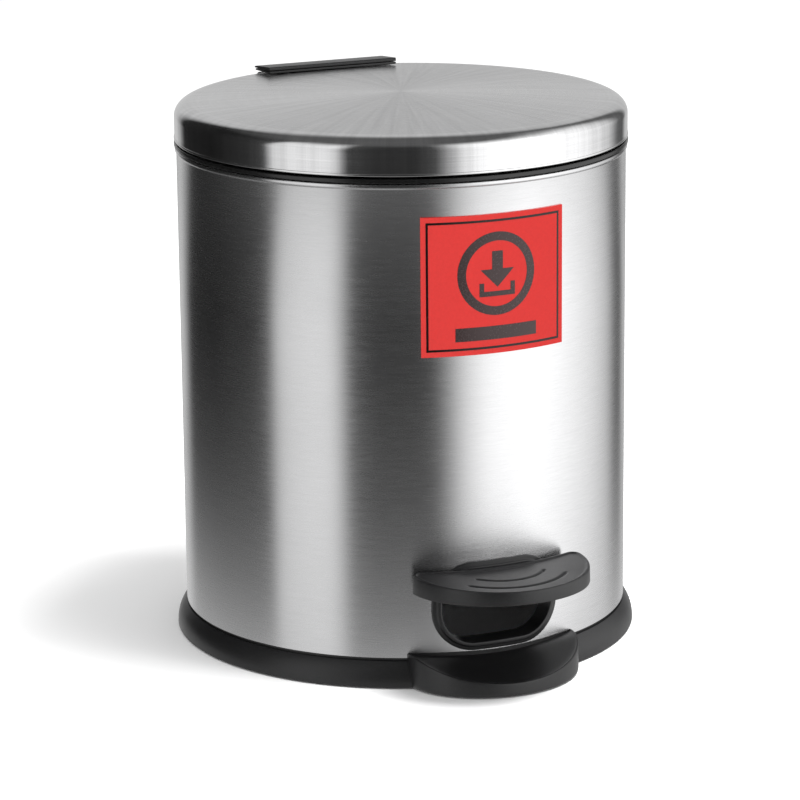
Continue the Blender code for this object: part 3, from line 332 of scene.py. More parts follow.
# %% Start a material
def new_material(name):
    material = bpy.data.materials.new(name)
    material.use_nodes = True
    tree = material.node_tree
    return material, tree, tree.nodes["Principled BSDF"]


def place_group(tree, group, **values):
    node = tree.nodes.new("ShaderNodeGroup")
    node.node_tree = group
    for label, value in values.items():
        node.inputs[label].default_value = value
    return node


def blend_colours(tree, mask, low, high):
    """Colour between two others, as a mask goes from 0 to 1."""
    node = tree.nodes.new("ShaderNodeMix")
    node.data_type = "RGBA"
    node.inputs["A"].default_value = (*low, 1.0)
    node.inputs["B"].default_value = (*high, 1.0)
    tree.links.new(mask, node.inputs["Factor"])
    return node.outputs["Result"]


def between(tree, mask, low, high, start=0.3, end=0.7):
    """Value from low to high as the mask goes from start to end."""
    node = tree.nodes.new("ShaderNodeMapRange")
    for label, value in (("From Min", start), ("From Max", end), ("To Min", low), ("To Max", high)):
        node.inputs[label].default_value = value
    tree.links.new(mask, node.inputs["Value"])
    return node.outputs["Result"]


# %% [markdown]
# ## Brushed and spun steel
# Scratches spread a reflection across their own direction, so a light is seen as a streak along the tube's
# height and as rays on the lid. That is anisotropy, and its direction comes from a radial tangent. On top of
# it, the scratches change the colour and the roughness a little, which keeps the streaks from looking clean.
# The lid's colour also gets radial streaks, lighter and darker: painted sheen that stands in for the spun
# top's sunburst of highlights.

# %% Steel finishes
def steel(name, colour, contrast, roughness, spread, anisotropy, length, width, depth, rays=0.0, polish=None):
    material, tree, shader = new_material(name)
    marks = place_group(tree, scratches, Length=length, Width=width, Depth=depth)
    place = tree.nodes.new("ShaderNodeTexCoord").outputs["Object"]
    smudge = noise_node(tree, place, scale=22.0, detail=4.0, rough=0.65)
    dark = tuple(channel * (1.0 - contrast) for channel in colour)
    bright = tuple(min(channel * (1.0 + contrast), 1.0) for channel in colour)
    mask = between(tree, marks.outputs["Scratch"], 0.0, 1.0, 0.3, 0.7)
    # Painted sheen: radial streaks of lighter and darker colour stand in for the spun top's sunburst of
    # highlights.
    if rays:
        angle, radius, _ = turned_coordinates(tree)
        turned_by = combine(
            tree, math_node(tree, "MULTIPLY", angle, 7.0), math_node(tree, "MULTIPLY", radius, 4.0)
        )
        ray_sheen = noise_node(tree, turned_by, scale=3.0, detail=4.0, rough=0.7)
        sheen_shift = between(tree, ray_sheen, -rays, rays, 0.35, 0.65)
        mask = math_node(tree, "ADD", mask, sheen_shift, clamp=True)
    tree.links.new(blend_colours(tree, mask, dark, bright), shader.inputs["Base Color"])
    rough = math_node(
        tree, "ADD", between(tree, marks.outputs["Scratch"], roughness - spread, roughness + spread),
        between(tree, smudge, -0.02, 0.025),
    )
    if polish:
        _, radius, _ = turned_coordinates(tree)
        gloss = between(tree, radius, 1.0, polish, shoulder_radius - 1.5 * MM, shoulder_radius + 1.5 * MM)
        rough = math_node(tree, "MULTIPLY", rough, gloss)
    tree.links.new(rough, shader.inputs["Roughness"])
    tree.links.new(marks.outputs["Normal"], shader.inputs["Normal"])
    shader.inputs["Metallic"].default_value = 1.0
    if anisotropy:
        tangent = tree.nodes.new("ShaderNodeTangent")
        tangent.direction_type = "RADIAL"
        tangent.axis = "Z"
        tree.links.new(tangent.outputs[0], shader.inputs["Tangent"])
        shader.inputs["Anisotropic"].default_value = anisotropy
        shader.inputs["Anisotropic Rotation"].default_value = 0.25
    return material


shoulder_radius = lid_radius - 8.0 * MM
brushed_body = steel("brushed_body_steel", (0.62, 0.62, 0.625), 0.07, 0.26, 0.035, 0.75, 0.007, 0.0003, 0.2)
spun_lid = steel(
    "spun_lid_steel", (0.66, 0.66, 0.665), 0.09, 0.25, 0.04, 0.7, 0.05, 0.0004, 0.12, rays=0.5, polish=0.55
)
rolled_edge = steel("polished_rolled_edge", (0.7, 0.7, 0.7), 0.05, 0.16, 0.03, 0.0, 0.03, 0.0004, 0.1)
# Painted shade: the lever is coloured near black, so that the inside of the base seen through the pedal's
# window reads as shade.
shade_black_steel = steel("shade_black_lever_steel", (0.012, 0.012, 0.013), 0.15, 0.4, 0.05, 0.0, 0.006, 0.0008, 0.3)
plated_steel = steel("zinc_plated_steel", (0.52, 0.53, 0.55), 0.12, 0.36, 0.06, 0.0, 0.006, 0.0008, 0.4)
print("steel finishes:", brushed_body.name, spun_lid.name, plated_steel.name)

# %% [markdown]
# ## Plastics, rubber and the label's film
# The black mouldings are satin: a fine cast texture breaks up the shine, and rubbed patches are a little
# smoother. The collar is the same plastic from a polished tool. Rubber is rougher and greyer.


# %% Plastic finishes
def plastic(name, low, high, roughness, spread, grain, depth, specular=0.5):
    material, tree, shader = new_material(name)
    texture = place_group(tree, cast_texture, Grain=grain, Depth=depth)
    pebble = between(tree, texture.outputs["Pebble"], 0.0, 1.0)
    tree.links.new(blend_colours(tree, pebble, low, high), shader.inputs["Base Color"])
    rough = math_node(
        tree, "ADD", between(tree, texture.outputs["Patch"], roughness - spread, roughness + spread),
        between(tree, texture.outputs["Pebble"], -0.03, 0.03),
    )
    tree.links.new(rough, shader.inputs["Roughness"])
    tree.links.new(texture.outputs["Normal"], shader.inputs["Normal"])
    shader.inputs["Specular IOR Level"].default_value = specular
    return material


satin_black = plastic(
    "satin_black_moulding", (0.006, 0.006, 0.006), (0.011, 0.011, 0.012), 0.38, 0.04, 0.0006, 0.5
)
gloss_black = plastic(
    "gloss_black_moulding", (0.004, 0.004, 0.004), (0.007, 0.007, 0.007), 0.22, 0.04, 0.0010, 0.1
)
grey_moulding = plastic(
    "grey_bucket_moulding", (0.075, 0.076, 0.080), (0.10, 0.10, 0.105), 0.5, 0.05, 0.0007, 0.4
)
liner_grey = plastic("lid_liner_moulding", (0.10, 0.10, 0.105), (0.13, 0.13, 0.135), 0.48, 0.05, 0.0007, 0.4)
pad_rubber = plastic("pad_rubber", (0.018, 0.018, 0.018), (0.035, 0.035, 0.034), 0.85, 0.06, 0.0005, 0.8)
label_film = plastic(
    "red_label_film", (0.46, 0.005, 0.002), (0.50, 0.007, 0.004), 0.19, 0.02, 0.0012, 0.05, 0.35
)
label_black = plastic(
    "black_label_ink", (0.004, 0.002, 0.002), (0.007, 0.004, 0.004), 0.24, 0.03, 0.0010, 0.05, 0.3
)
label_grey = plastic(
    "dark_label_ink", (0.022, 0.010, 0.010), (0.028, 0.014, 0.014), 0.26, 0.03, 0.0010, 0.05, 0.4
)
print("plastic finishes made")

# %% [markdown]
# ## The tube
# The body is one sheet, brushed round and round, rolled into a tube and welded at the back. Its top edge is
# rolled into a small bead. It is turned as one thin profile, and the pedal's window is cut from the front
# with a solid of the window's outline, as the press does it.

# %% Window outline
bezel_flange = 4.0 * MM
window_half = (bezel_high.x - bezel_low.x) / 2 - bezel_flange
window_rise = (bezel_high.z - bezel_low.z) / 2 - bezel_flange
window_centre = (bezel_high.z + bezel_low.z) / 2
window_corner = 15.0 * MM


def window_outline(grow, corner_steps=14, flats=16):
    """Rounded window as (x, z) points, widened all round by grow."""
    side, rise = window_half - window_corner, window_rise - window_corner
    points = []
    for x, z, start in ((side, rise, 0), (-side, rise, 90), (-side, -rise, 180), (side, -rise, 270)):
        centre = (x, window_centre + z)
        bend_radius = window_corner + grow
        bend = curve_points(centre, bend_radius, bend_radius, start, start + 90, corner_steps)
        if points:
            points += straight(points[-1], bend[0], flats)
        points += bend
    return points + straight(points[-1], points[0], flats)


def straight(start, end, parts):
    shares = [index / parts for index in range(1, parts)]
    return [(start[0] + (end[0] - start[0]) * s, start[1] + (end[1] - start[1]) * s) for s in shares]


# %% Tube with bead and window
sheet = 0.6 * MM
bead_top = tube_high.z
bead_profile = curve_points((tube_radius + 0.05 * MM, bead_top - 1.2 * MM), 0.6 * MM, 1.0 * MM, -75, 100, 10)
tube_profile = [
    (tube_radius - sheet, tube_low.z),
    (tube_radius, tube_low.z),
    (tube_radius, tube_low.z + 0.3 * (bead_top - tube_low.z)),
    (tube_radius, tube_low.z + 0.7 * (bead_top - tube_low.z)),
    (tube_radius, bead_top - 2.6 * MM),
    *bead_profile,
    (tube_radius - sheet, bead_top),
]
tube = settle("tube", skin(turn(tube_profile), loop=True), brushed_body, "bin", "body_shell", slot="steel")
hollowed(
    tube,
    prism_along(window_outline(1.9 * MM), -tube_radius - 5 * MM, -tube_radius + 16 * MM, "Y"),
    "pedal_window_cut",
)

# %% Weld seam down the back
seam_angles = [math.pi / 2 + share * 0.5 * MM / tube_radius for share in (-1.0, -0.4, 0.0, 0.4, 1.0)]
seam_proud = [0.0, 0.10 * MM, 0.14 * MM, 0.10 * MM, 0.0]
bracket_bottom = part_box("hinge_bracket")[0].z
seam_rings = []
for height in (tube_low.z + 0.2 * MM, bracket_bottom - 0.5 * MM):
    outer = [(tube_radius + 0.02 * MM + p) for p in seam_proud]
    ring = [(r * math.cos(a), r * math.sin(a), height) for r, a in zip(outer, seam_angles)]
    ring += [((tube_radius - 0.1 * MM) * math.cos(a), (tube_radius - 0.1 * MM) * math.sin(a), height)
             for a in reversed(seam_angles)]
    seam_rings.append(ring)
settle("tube_weld_seam", skin(seam_rings), rolled_edge, "bin", slot="steel")

# %% [markdown]
# ## Collar and lid
# The collar is a polished black ring that hides the tube's cut edge, and shows as a thin dark band under the
# lid. The lid is spun from one disc: a shallow dome, a rounded shoulder, a short straight skirt and an edge
# rolled back on itself, which shows as a bright line.

# %% Collar
collar_top = collar_high.z
collar_face = 2.2 * MM
inner_lip = tube_radius - 7.5 * MM
sleeve_outer = tube_radius - sheet - 0.3 * MM
collar_profile = soft([
    (inner_lip, collar_low.z + 2.0 * MM, 0.5 * MM),
    (inner_lip + 1.8 * MM, collar_low.z + 2.0 * MM, 0.5 * MM),
    (inner_lip + 1.8 * MM, collar_top - collar_face - 0.2 * MM, 0.6 * MM),
    (sleeve_outer - 1.8 * MM, collar_top - collar_face - 0.2 * MM, 0.6 * MM),
    (sleeve_outer - 1.8 * MM, collar_low.z, 0.5 * MM),
    (sleeve_outer, collar_low.z, 0.5 * MM),
    (sleeve_outer, collar_top - 2.0 * MM, 0.2 * MM),
    (collar_radius, collar_top - 2.0 * MM, 0.5 * MM),
    (collar_radius, collar_top, 0.7 * MM),
    (inner_lip, collar_top, 0.9 * MM),
], steps=4)
collar = settle(
    "collar", skin(turn(collar_profile), loop=True), gloss_black, "bin", "top_collar", slot="gloss_black"
)
hollowed(
    collar,
    prism_along([(-9.5 * MM, inner_lip - 2 * MM), (9.5 * MM, inner_lip - 2 * MM),
                 (9.5 * MM, sleeve_outer - 1.7 * MM), (-9.5 * MM, sleeve_outer - 1.7 * MM)],
                collar_low.z - 5 * MM, collar_top + 5 * MM, "Z"),
    "collar_gate_cut",
)

# %% Lid profile
skirt_height = 10.3 * MM
shoulder_width, shoulder_height = lid_radius - shoulder_radius, 6.6 * MM
crown = 2.7 * MM
shoulder_bottom = lid_low.z + skirt_height
lid_edge = shoulder_bottom + shoulder_height


def lid_line(shrink, steps=14):
    """Outside of the lid from its middle to the skirt, moved inwards by shrink."""
    crown_line = []
    for step in range(steps):
        radius = shoulder_radius * step / steps
        crown_line.append((radius, lid_edge + crown * (1 - (radius / shoulder_radius) ** 2) - shrink))
    centre = (shoulder_radius, shoulder_bottom)
    bend = curve_points(centre, shoulder_width - shrink, shoulder_height - shrink, 90, 0, 16)
    return crown_line + bend


# %% Lid shell with its rolled edge
roll = curve_points((lid_radius - 0.25 * MM, lid_low.z + 0.55 * MM), 0.55 * MM, 0.55 * MM, 60, -180, 12)
lid_profile = lid_line(0.0) + [(lid_radius, lid_low.z + 3.0 * MM), (lid_radius, lid_low.z + 1.4 * MM)] + roll
lid_profile += list(reversed(lid_line(sheet)))
lid = settle("lid", skin(turn(lid_profile)), spun_lid, "lid", "lid_shell", slot="lid_steel")
gate_half = 9.0 * MM
gate_back = lid_radius + 3 * MM
gate = [(-gate_half, 89 * MM), (gate_half, 89 * MM), (gate_half, gate_back), (-gate_half, gate_back)]
gate_top = 238.2 * MM
hollowed(lid, prism_along(gate, lid_low.z - 5 * MM, gate_top, "Z"), "lid_gate_cut")

# %% Bright line of the rolled edge
edge_line = [
    (lid_radius + r, lid_low.z + 0.62 * MM + z)
    for r, z in curve_points((0.06 * MM, 0.0), 0.24 * MM, 0.55 * MM, 0, 345, 15)
]
edge_ring = skin(turn(edge_line), loop=True)
lid_roll = settle("lid_rolled_edge", edge_ring, rolled_edge, "lid", slot="lid_steel")
hollowed(lid_roll, prism_along(gate, lid_low.z - 5 * MM, gate_top, "Z"), "lid_roll_gate_cut")

# %% Liner inside the lid
liner_radius = (liner_high.x - liner_low.x) / 2
rim_inner = liner_radius - 5.0 * MM
under = sheet + 0.3 * MM
liner_top = [(r, z) for r, z in lid_line(under)]
liner_profile = liner_top + soft([
    (liner_radius, shoulder_bottom, 0.0),
    (liner_radius, liner_low.z, 1.0 * MM),
    (rim_inner, liner_low.z, 1.0 * MM),
    (rim_inner, lid_edge - 4.4 * MM, 1.6 * MM),
    (rim_inner - 3.5 * MM, lid_edge - 2.95 * MM, 1.6 * MM),
    (shoulder_radius * 0.7, lid_edge - 1.1 * MM, 0.0),
], closed=False)
for rib in (0.62, 0.36):
    centre = shoulder_radius * rib
    level = lid_edge + crown * (1 - rib**2) - under - 1.5 * MM
    liner_profile += [(centre + 1.0 * MM, level), (centre + 0.7 * MM, level - 1.2 * MM),
                      (centre - 0.7 * MM, level - 1.2 * MM), (centre - 1.0 * MM, level)]
liner_profile += [(0.0, lid_edge + crown - under - 1.5 * MM)]
liner = settle("liner", skin(turn(liner_profile, 180)), liner_grey, "lid", "lid_liner", slot="grey_plastic")
hollowed(liner, prism_along(gate, liner_low.z - 5 * MM, gate_top, "Z"), "liner_gate_cut")

# %% [markdown]
# ## Base and foot well
# The base is one black moulding: a flared skirt under the tube, an open underside with the lever's ears,
# and a shallow dish in front that keeps a shoe off the floor. The skirt is turned. The dish is a stack of
# rings that follow its oval outline, each at its own height, so the rim slopes and the bottom is hollowed.

# %% Turned base
SKIRT_POWER = 2.3
flare = base_radius - tube_radius - 0.1 * MM
skirt_rise = skirt_top - base_low.z
skirt = []
for step in range(13):
    share = math.sin(math.radians(90 * step / 12))
    skirt.append((tube_radius + 0.1 * MM + flare * (1 - share**SKIRT_POWER), base_low.z + skirt_rise * share))
floor_top = base_high.z
wall_inner = sleeve_outer - 2.0 * MM
ring_inner = base_radius - 10.4 * MM
base_profile = [
    (0.0, floor_top),
    (sleeve_outer - 1.2 * MM, floor_top),
    (sleeve_outer, floor_top - 1.2 * MM),
    (sleeve_outer, skirt_top),
    *reversed(skirt),
    (base_radius - 0.8 * MM, base_low.z),
    (ring_inner, base_low.z),
    (ring_inner, skirt_top - 2.5 * MM),
    (wall_inner, skirt_top),
    (wall_inner, floor_top - 3.0 * MM),
    (wall_inner - 1.0 * MM, floor_top - 2.0 * MM),
    (0.0, floor_top - 2.0 * MM),
]
base = settle("base_moulding", skin(turn(base_profile)), satin_black, "bin", "base", slot="black_plastic")
hollowed(
    base,
    prism_along(window_outline(1.9 * MM), -tube_radius - 5 * MM, -tube_radius + 16 * MM, "Y"),
    "base_window_cut",
)
print("base skirt flares", round(flare / MM, 1), "mm")

# %% Foot well
well_half = 41.0 * MM
well_reach = -(base_low.y - axis_y)
well_depth = 34.7 * MM
well_centre = well_reach - well_depth
well_front_height = 6.2 * MM
WELL_SLOPE = 0.33
tube_face = tube_radius + 0.25 * MM


def well_ring(inset, height, squash=1.0, count=120):
    """Outline of the well, inset from its rim; it ends on the tube's face. squash draws it to the back."""
    side = well_half - inset
    ring = []
    for x, y in curve_points((0.0, -well_centre), side, well_depth - inset, 0, -180, count):
        face = -math.sqrt(tube_face**2 - x**2)
        y = face + (min(y, face) - face) * squash
        ring.append((x, y, height(x, y)))
    for step in range(1, 60):
        x = -side + 2 * side * step / 60
        y = -math.sqrt(tube_face**2 - x**2)
        ring.append((x, y, height(x, y)))
    return ring


def well_rim(x, y):
    """Sloping rim that levels off near the tube."""
    slope = well_front_height + WELL_SLOPE * (y + well_reach)
    crest = base_low.z + 14.8 * MM
    return (slope + crest - math.sqrt((slope - crest) ** 2 + (1.0 * MM) ** 2)) / 2


def dish(depth):
    """Height of the dish: below the rim's plane by depth, more so in its middle."""
    return lambda x, y: well_rim(x, y) - depth * (1 - 0.55 * (x / well_half) ** 2)


well_rings = [
    well_ring(2.2 * MM, lambda x, y: base_low.z + 0.0 * MM),
    well_ring(0.6 * MM, lambda x, y: base_low.z + 0.1 * MM),
    well_ring(0.2 * MM, lambda x, y: base_low.z + 0.6 * MM),
    well_ring(0.1 * MM, lambda x, y: base_low.z + 2.0 * MM),
]
for inset, drop in (
    (0.30, 0.9), (0.34, 0.45), (0.46, 0.16), (0.66, 0.02), (0.90, 0.0), (1.15, 0.1), (1.34, 0.34)
):
    well_rings.append(well_ring(inset * MM, lambda x, y, d=drop: well_rim(x, y) - d * MM))
for inset, depth in ((1.6, 0.85), (2.4, 1.25), (4.0, 1.5), (7.0, 1.75), (11.0, 1.95)):
    well_rings.append(well_ring(inset * MM, dish(depth * MM)))
for squash in (0.75, 0.5, 0.25, 0.05):
    well_rings.append(well_ring(11.0 * MM, dish((1.95 - 0.1 * (1 - squash)) * MM), squash))
settle("foot_well", skin(well_rings), satin_black, "bin", "base", slot="black_plastic")

# %% [markdown]
# ## Frame round the pedal's window
# The frame follows the tube: its outline is drawn flat, and each point is then moved back to the radius that
# the section asks for. The section is a flat flange with a raised, rounded lip on the inside.

# %% Window frame
face = tube_radius + 1.9 * MM
back = tube_radius + 0.25 * MM
section = soft([
    (0.0, tube_radius - 8.0 * MM, 0.3 * MM),
    (0.0, face + 0.5 * MM, 1.3 * MM),
    (1.9 * MM, face + 0.35 * MM, 0.7 * MM),
    (2.3 * MM, face - 0.35 * MM, 0.4 * MM),
    (bezel_flange, face - 0.6 * MM, 0.7 * MM),
    (bezel_flange, back, 0.2 * MM),
    (1.7 * MM, back, 0.0),
    (1.7 * MM, tube_radius - 8.0 * MM, 0.3 * MM),
], steps=6)
frame_rings = [
    [(x, -math.sqrt(radius**2 - x**2), z) for x, z in window_outline(grow)] for grow, radius in section
]
settle("window_frame", skin(frame_rings, loop=True), satin_black, "bin", "pedal_bezel", slot="black_plastic")

# %% [markdown]
# ## Pedal
# The pedal is a hollow moulding. Its top is dished a little inside a narrow raised lip, and two curved
# grooves give a shoe some grip. The top is a fine mesh of rings from the outline to the middle, and each
# point's height comes from one formula, so lip, dish and grooves flow into each other.

# %% Pedal outline and top surface
pedal_half = (pedal_high.x - pedal_low.x) / 2
pedal_front = -(pedal_low.y - axis_y)
pedal_back = tube_radius + 2.5 * MM
pedal_corner = 4.0 * MM
corner_x = pedal_half - pedal_corner
corner_y = -math.sqrt((pedal_back + pedal_corner) ** 2 - corner_x**2)
PEDAL_SLOPE, RIM_SLOPE = 0.01, -0.05
pedal_level = pedal_high.z
pedal_rim_height = 8.5 * MM
GROOVES = ((21.0 * MM, 36.0), (31.2 * MM, 39.0))
groove_width, groove_depth = 0.75 * MM, 0.75 * MM


def pedal_outline(inset, count=160):
    """Points round the pedal from its right corner, as (x, y); all insets have the same number of points."""
    side = pedal_half - inset
    corner = max(pedal_corner - inset, 0.6 * MM)
    cx = side - corner
    cy = -math.sqrt((pedal_back + inset + corner) ** 2 - cx**2)
    turn_by = 90 + math.degrees(math.asin(cx / (pedal_back + inset + corner)))
    right = curve_points((cx, cy), corner, corner, 0, turn_by, 12)
    edge = math.asin(right[-1][0] / (pedal_back + inset))
    rear = [((pedal_back + inset) * math.sin(edge * (1 - 2 * s / 60)),
             -(pedal_back + inset) * math.cos(edge * (1 - 2 * s / 60))) for s in range(1, 60)]
    left = [(-x, y) for x, y in reversed(right)]
    front = curve_points((0.0, cy), side, pedal_front - inset + cy, -180, 0, count)
    return right + rear + left + front[1:-1]


def groove_mark(x, y):
    """How deep in a groove a point lies, 0 to 1."""
    radius = math.hypot(x, y - corner_y)
    bearing = math.degrees(math.atan2(-(y - corner_y), abs(x)))
    mark = 0.0
    for centre, end in GROOVES:
        inside = min(max((bearing - end) / 4.0, 0.0), 1.0)
        mark = max(mark, inside * math.exp(-(((radius - centre) / groove_width) ** 2)))
    return mark


def pedal_top(x, y, rim_share):
    """Height of the pedal's top; rim_share is 0 on the lip and 1 inside the dish."""
    plane = pedal_level + PEDAL_SLOPE * (y + pedal_back)
    bowl = 0.55 * MM + 0.35 * MM * (1 - (x / pedal_half) ** 2)
    return plane - rim_share * bowl - groove_depth * groove_mark(x, y)


def pedal_bottom(y):
    return pedal_level - pedal_rim_height + RIM_SLOPE * (y + pedal_back)


# %% Pedal rings
middle = (0.0, (corner_y - pedal_front) / 2 - 2.0 * MM)
pedal_rings = []
hollow_top = pedal_level - 2.2 * MM


def shrunk(outline, share):
    return [(middle[0] + (x - middle[0]) * share, middle[1] + (y - middle[1]) * share) for x, y in outline]


inner = pedal_outline(2.0 * MM)
pedal_rings.append([(x, y, hollow_top + PEDAL_SLOPE * (y + pedal_back)) for x, y in shrunk(inner, 0.02)])
pedal_rings.append([(x, y, hollow_top + PEDAL_SLOPE * (y + pedal_back)) for x, y in shrunk(inner, 0.97)])
pedal_rings.append([(x, y, hollow_top - 0.9 * MM + PEDAL_SLOPE * (y + pedal_back)) for x, y in inner])
for inset, lift in ((1.95, 0.25), (1.7, 0.0), (0.5, 0.0), (0.15, 0.12), (0.0, 0.5)):
    pedal_rings.append([(x, y, pedal_bottom(y) + lift * MM) for x, y in pedal_outline(inset * MM)])
for inset, drop in ((0.10, 1.1), (0.16, 0.6), (0.35, 0.22), (0.62, 0.05), (0.95, 0.0)):
    pedal_rings.append([(x, y, pedal_top(x, y, 0.0) - drop * MM) for x, y in pedal_outline(inset * MM)])
for inset, share in ((1.25, 0.04), (1.5, 0.2), (1.75, 0.5), (2.0, 0.8), (2.3, 0.96), (2.6, 1.0)):
    pedal_rings.append([(x, y, pedal_top(x, y, share)) for x, y in pedal_outline(inset * MM)])
dish_edge = pedal_outline(2.6 * MM)
for step in range(1, 90):
    pedal_rings.append([(x, y, pedal_top(x, y, 1.0)) for x, y in shrunk(dish_edge, 1 - step / 90.5)])
pedal = settle("pedal", skin(pedal_rings), satin_black, "pedal", "pedal_plate", slot="black_plastic")
notch_half = 18.6 * MM
notch_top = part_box("pedal_arm")[1].z + 1.2 * MM
hollowed(
    pedal,
    prism_along([(-notch_half, 30 * MM), (notch_half, 30 * MM), (notch_half, notch_top),
                 (-notch_half, notch_top)],
                -(pedal_back + 2.5 * MM), -tube_radius * 0.9, "Y"),
    "pedal_notch_cut",
)

# %% [markdown]
# ## Hinge cover, leaf and bracket
# The lid hangs on a moulded leaf with a knuckle round the pin. A flat cover sits on the leaf, with a shadow
# gap between the two. The bracket with its two ears is screwed to the tube. These are straight pieces, drawn
# as side profiles and carried across, with every edge rounded.

# %% Hinge cover
cap_half = (cap_high.x - cap_low.x) / 2
cap_front = cap_low.y - axis_y
cap_back = cap_high.y - axis_y
cap_fall = 1.0 * MM * (cap_back - cap_front) / (cap_back - cap_front - 1.0 * MM)
cap_thickness = cap_high.z - cap_low.z - cap_fall
cap_profile = soft([
    (cap_front, cap_low.z + cap_fall, 0.3 * MM),
    (cap_back, cap_low.z, 0.3 * MM),
    (cap_back, cap_low.z + 0.6 * MM, 0.5 * MM),
    (cap_back - 2.0 * MM, cap_low.z + cap_thickness - 0.5 * MM, 1.8 * MM),
    (cap_front + 0.6 * MM, cap_high.z, 0.5 * MM),
    (cap_front, cap_high.z - 0.6 * MM, 0.4 * MM),
])
cover = settle("hinge_cover", prism_along(cap_profile, -cap_half, cap_half), satin_black, "lid", "hinge_cap",
               slot="black_plastic")
edge_round(cover, 0.6 * MM, 4)

# %% Hinge leaf
leaf_front_top = cap_low.z + cap_fall - 0.3 * MM
leaf_back = cap_back - 1.0 * MM
leaf_back_top = leaf_front_top - 1.0 * MM
leaf_front_low = lid_edge + crown * (1 - (cap_front / shoulder_radius) ** 2) + 0.35 * MM
over_shoulder = curve_points((shoulder_radius, shoulder_bottom), shoulder_width + 0.6 * MM,
                             shoulder_height + 0.6 * MM, 84, 77, 3)
plate_profile = [
    (cap_front, leaf_front_low), *over_shoulder, (leaf_back, leaf_back_top), (cap_front, leaf_front_top)
]
plate = settle("hinge_leaf_plate", prism_along(plate_profile, -cap_half, cap_half), satin_black, "lid",
               "lid_hinge_leaf", slot="black_plastic")
edge_round(plate, 0.3 * MM, 3)
knuckle_half = 20.5 * MM
knuckle_radius = 4.5 * MM
round_shoulder = curve_points((shoulder_radius, shoulder_bottom), shoulder_width + 0.6 * MM,
                              shoulder_height + 0.6 * MM, 82, 0, 12)
strap_profile = [
    *round_shoulder,
    (hinge_y - 2.5 * MM, shoulder_bottom - 2.0 * MM),
    *curve_points((hinge_y, hinge_z), knuckle_radius, knuckle_radius, -60, 75, 14),
    (lid_radius + 2.4 * MM, leaf_back_top - 2.0 * MM),
    (lid_radius - 2.0 * MM, leaf_back_top - 0.35 * MM),
    (round_shoulder[0][0], leaf_back_top - 0.05 * MM),
]
strap_solid = prism_along(strap_profile, -knuckle_half + MM, knuckle_half - MM)
strap = settle("hinge_leaf_strap", strap_solid, satin_black,
               "lid", "lid_hinge_leaf", slot="black_plastic")
edge_round(strap, 0.4 * MM, 3)

# %% Knuckle and lid lever
knuckle_profile = soft([
    (2.3 * MM, -knuckle_half, 0.2 * MM),
    (knuckle_radius, -knuckle_half, 0.4 * MM),
    (knuckle_radius, knuckle_half, 0.4 * MM),
    (2.3 * MM, knuckle_half, 0.2 * MM),
])


def turn_across(profile, y, z, steps=48):
    """Turned piece on an axis that runs along X; profile is (radius, x)."""
    angles = [math.tau * step / steps for step in range(steps)]
    return [[(x, y + r * math.cos(a), z + r * math.sin(a)) for a in angles] for r, x in profile]


settle("hinge_knuckle", skin(turn_across(knuckle_profile, hinge_y, hinge_z), loop=True), satin_black, "lid",
       "lid_hinge_leaf", slot="black_plastic")
half_swing = math.radians(37.5)
along = Vector((-math.cos(half_swing), -math.sin(half_swing)))
upward = Vector((-math.sin(half_swing), math.cos(half_swing)))
pin_point = Vector((hinge_y, hinge_z))
lever_profile = soft([
    (*(pin_point + along * 3.6 * MM), 0.0),
    (*(pin_point + along * 23.0 * MM), 0.8 * MM),
    (*(pin_point + along * 22.0 * MM + upward * 3.2 * MM), 1.2 * MM),
    (*(pin_point + along * 3.6 * MM + upward * 3.2 * MM), 0.0),
])
lever = settle("lid_lever", prism_along(lever_profile, -7.5 * MM, 7.5 * MM), satin_black, "lid",
               "lid_hinge_leaf", slot="black_plastic")
edge_round(lever, 0.4 * MM, 3)

# %% Hinge bracket
bracket_low, bracket_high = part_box("hinge_bracket")
bracket_half = (bracket_high.x - bracket_low.x) / 2
plate_inner, plate_outer = tube_radius + 0.3 * MM, tube_radius + 4.1 * MM
plate_angle = math.asin(bracket_half / plate_outer)
plate_top = bracket_bottom + 26.0 * MM
bracket_outline = []
for radius, order in ((plate_outer, 1), (plate_inner, -1)):
    for step in range(33)[::order]:
        angle = math.pi / 2 + plate_angle * (2 * step / 32 - 1)
        bracket_outline.append((radius * math.cos(angle), radius * math.sin(angle)))
bracket_solid = prism_along(bracket_outline, bracket_bottom, plate_top, "Z")
bracket_plate = settle("bracket_plate", bracket_solid, satin_black,
                       "bin", "hinge_bracket", slot="black_plastic")
edge_round(bracket_plate, 0.7 * MM, 4)
ear_radius = 5.2 * MM
ear_front = collar_radius + 0.6 * MM
ear_profile = [
    (ear_front, plate_top - 16 * MM),
    (plate_outer, plate_top - 16 * MM),
    *curve_points((hinge_y, hinge_z), ear_radius, ear_radius, -30, 180, 24),
    (ear_front, collar_top),
]
ear_inner = knuckle_half + 0.3 * MM
for side, sign in (("left", -1), ("right", 1)):
    near, far = sorted((sign * ear_inner, sign * bracket_half))
    ear_solid = prism_along(ear_profile, near, far)
    ear = settle("bracket_ear_" + side, ear_solid, satin_black, "bin", "hinge_bracket",
                 slot="black_plastic")
    hole = skin(turn_across([(2.3 * MM, -40 * MM), (2.3 * MM, 40 * MM)], hinge_y, hinge_z, 32))
    hollowed(ear, hole, "ear_bore_" + side)
    edge_round(ear, 0.45 * MM, 3)

# %% [markdown]
# ## Inner bucket and its bail
# The bucket is a tapered moulding with a rolled lip, stiffening rings and two ears. Its bail is bent wire
# with a moulded grip, and lies on the rim. The wire is a curve with a round bevel.

# %% Bucket
lip_radius = (bucket_high.x - bucket_low.x) / 2
ears_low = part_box("bail_wire")[0].z
rim = ears_low - 0.3 * MM
wall_top = lip_radius - 2.0 * MM
wall_foot = wall_top - 9.5 * MM
wall = 1.8 * MM
bucket_foot = bucket_low.z


def wall_radius(height):
    share = (height - bucket_foot) / (rim - 6 * MM - bucket_foot)
    return wall_foot + (wall_top - wall_foot) * share


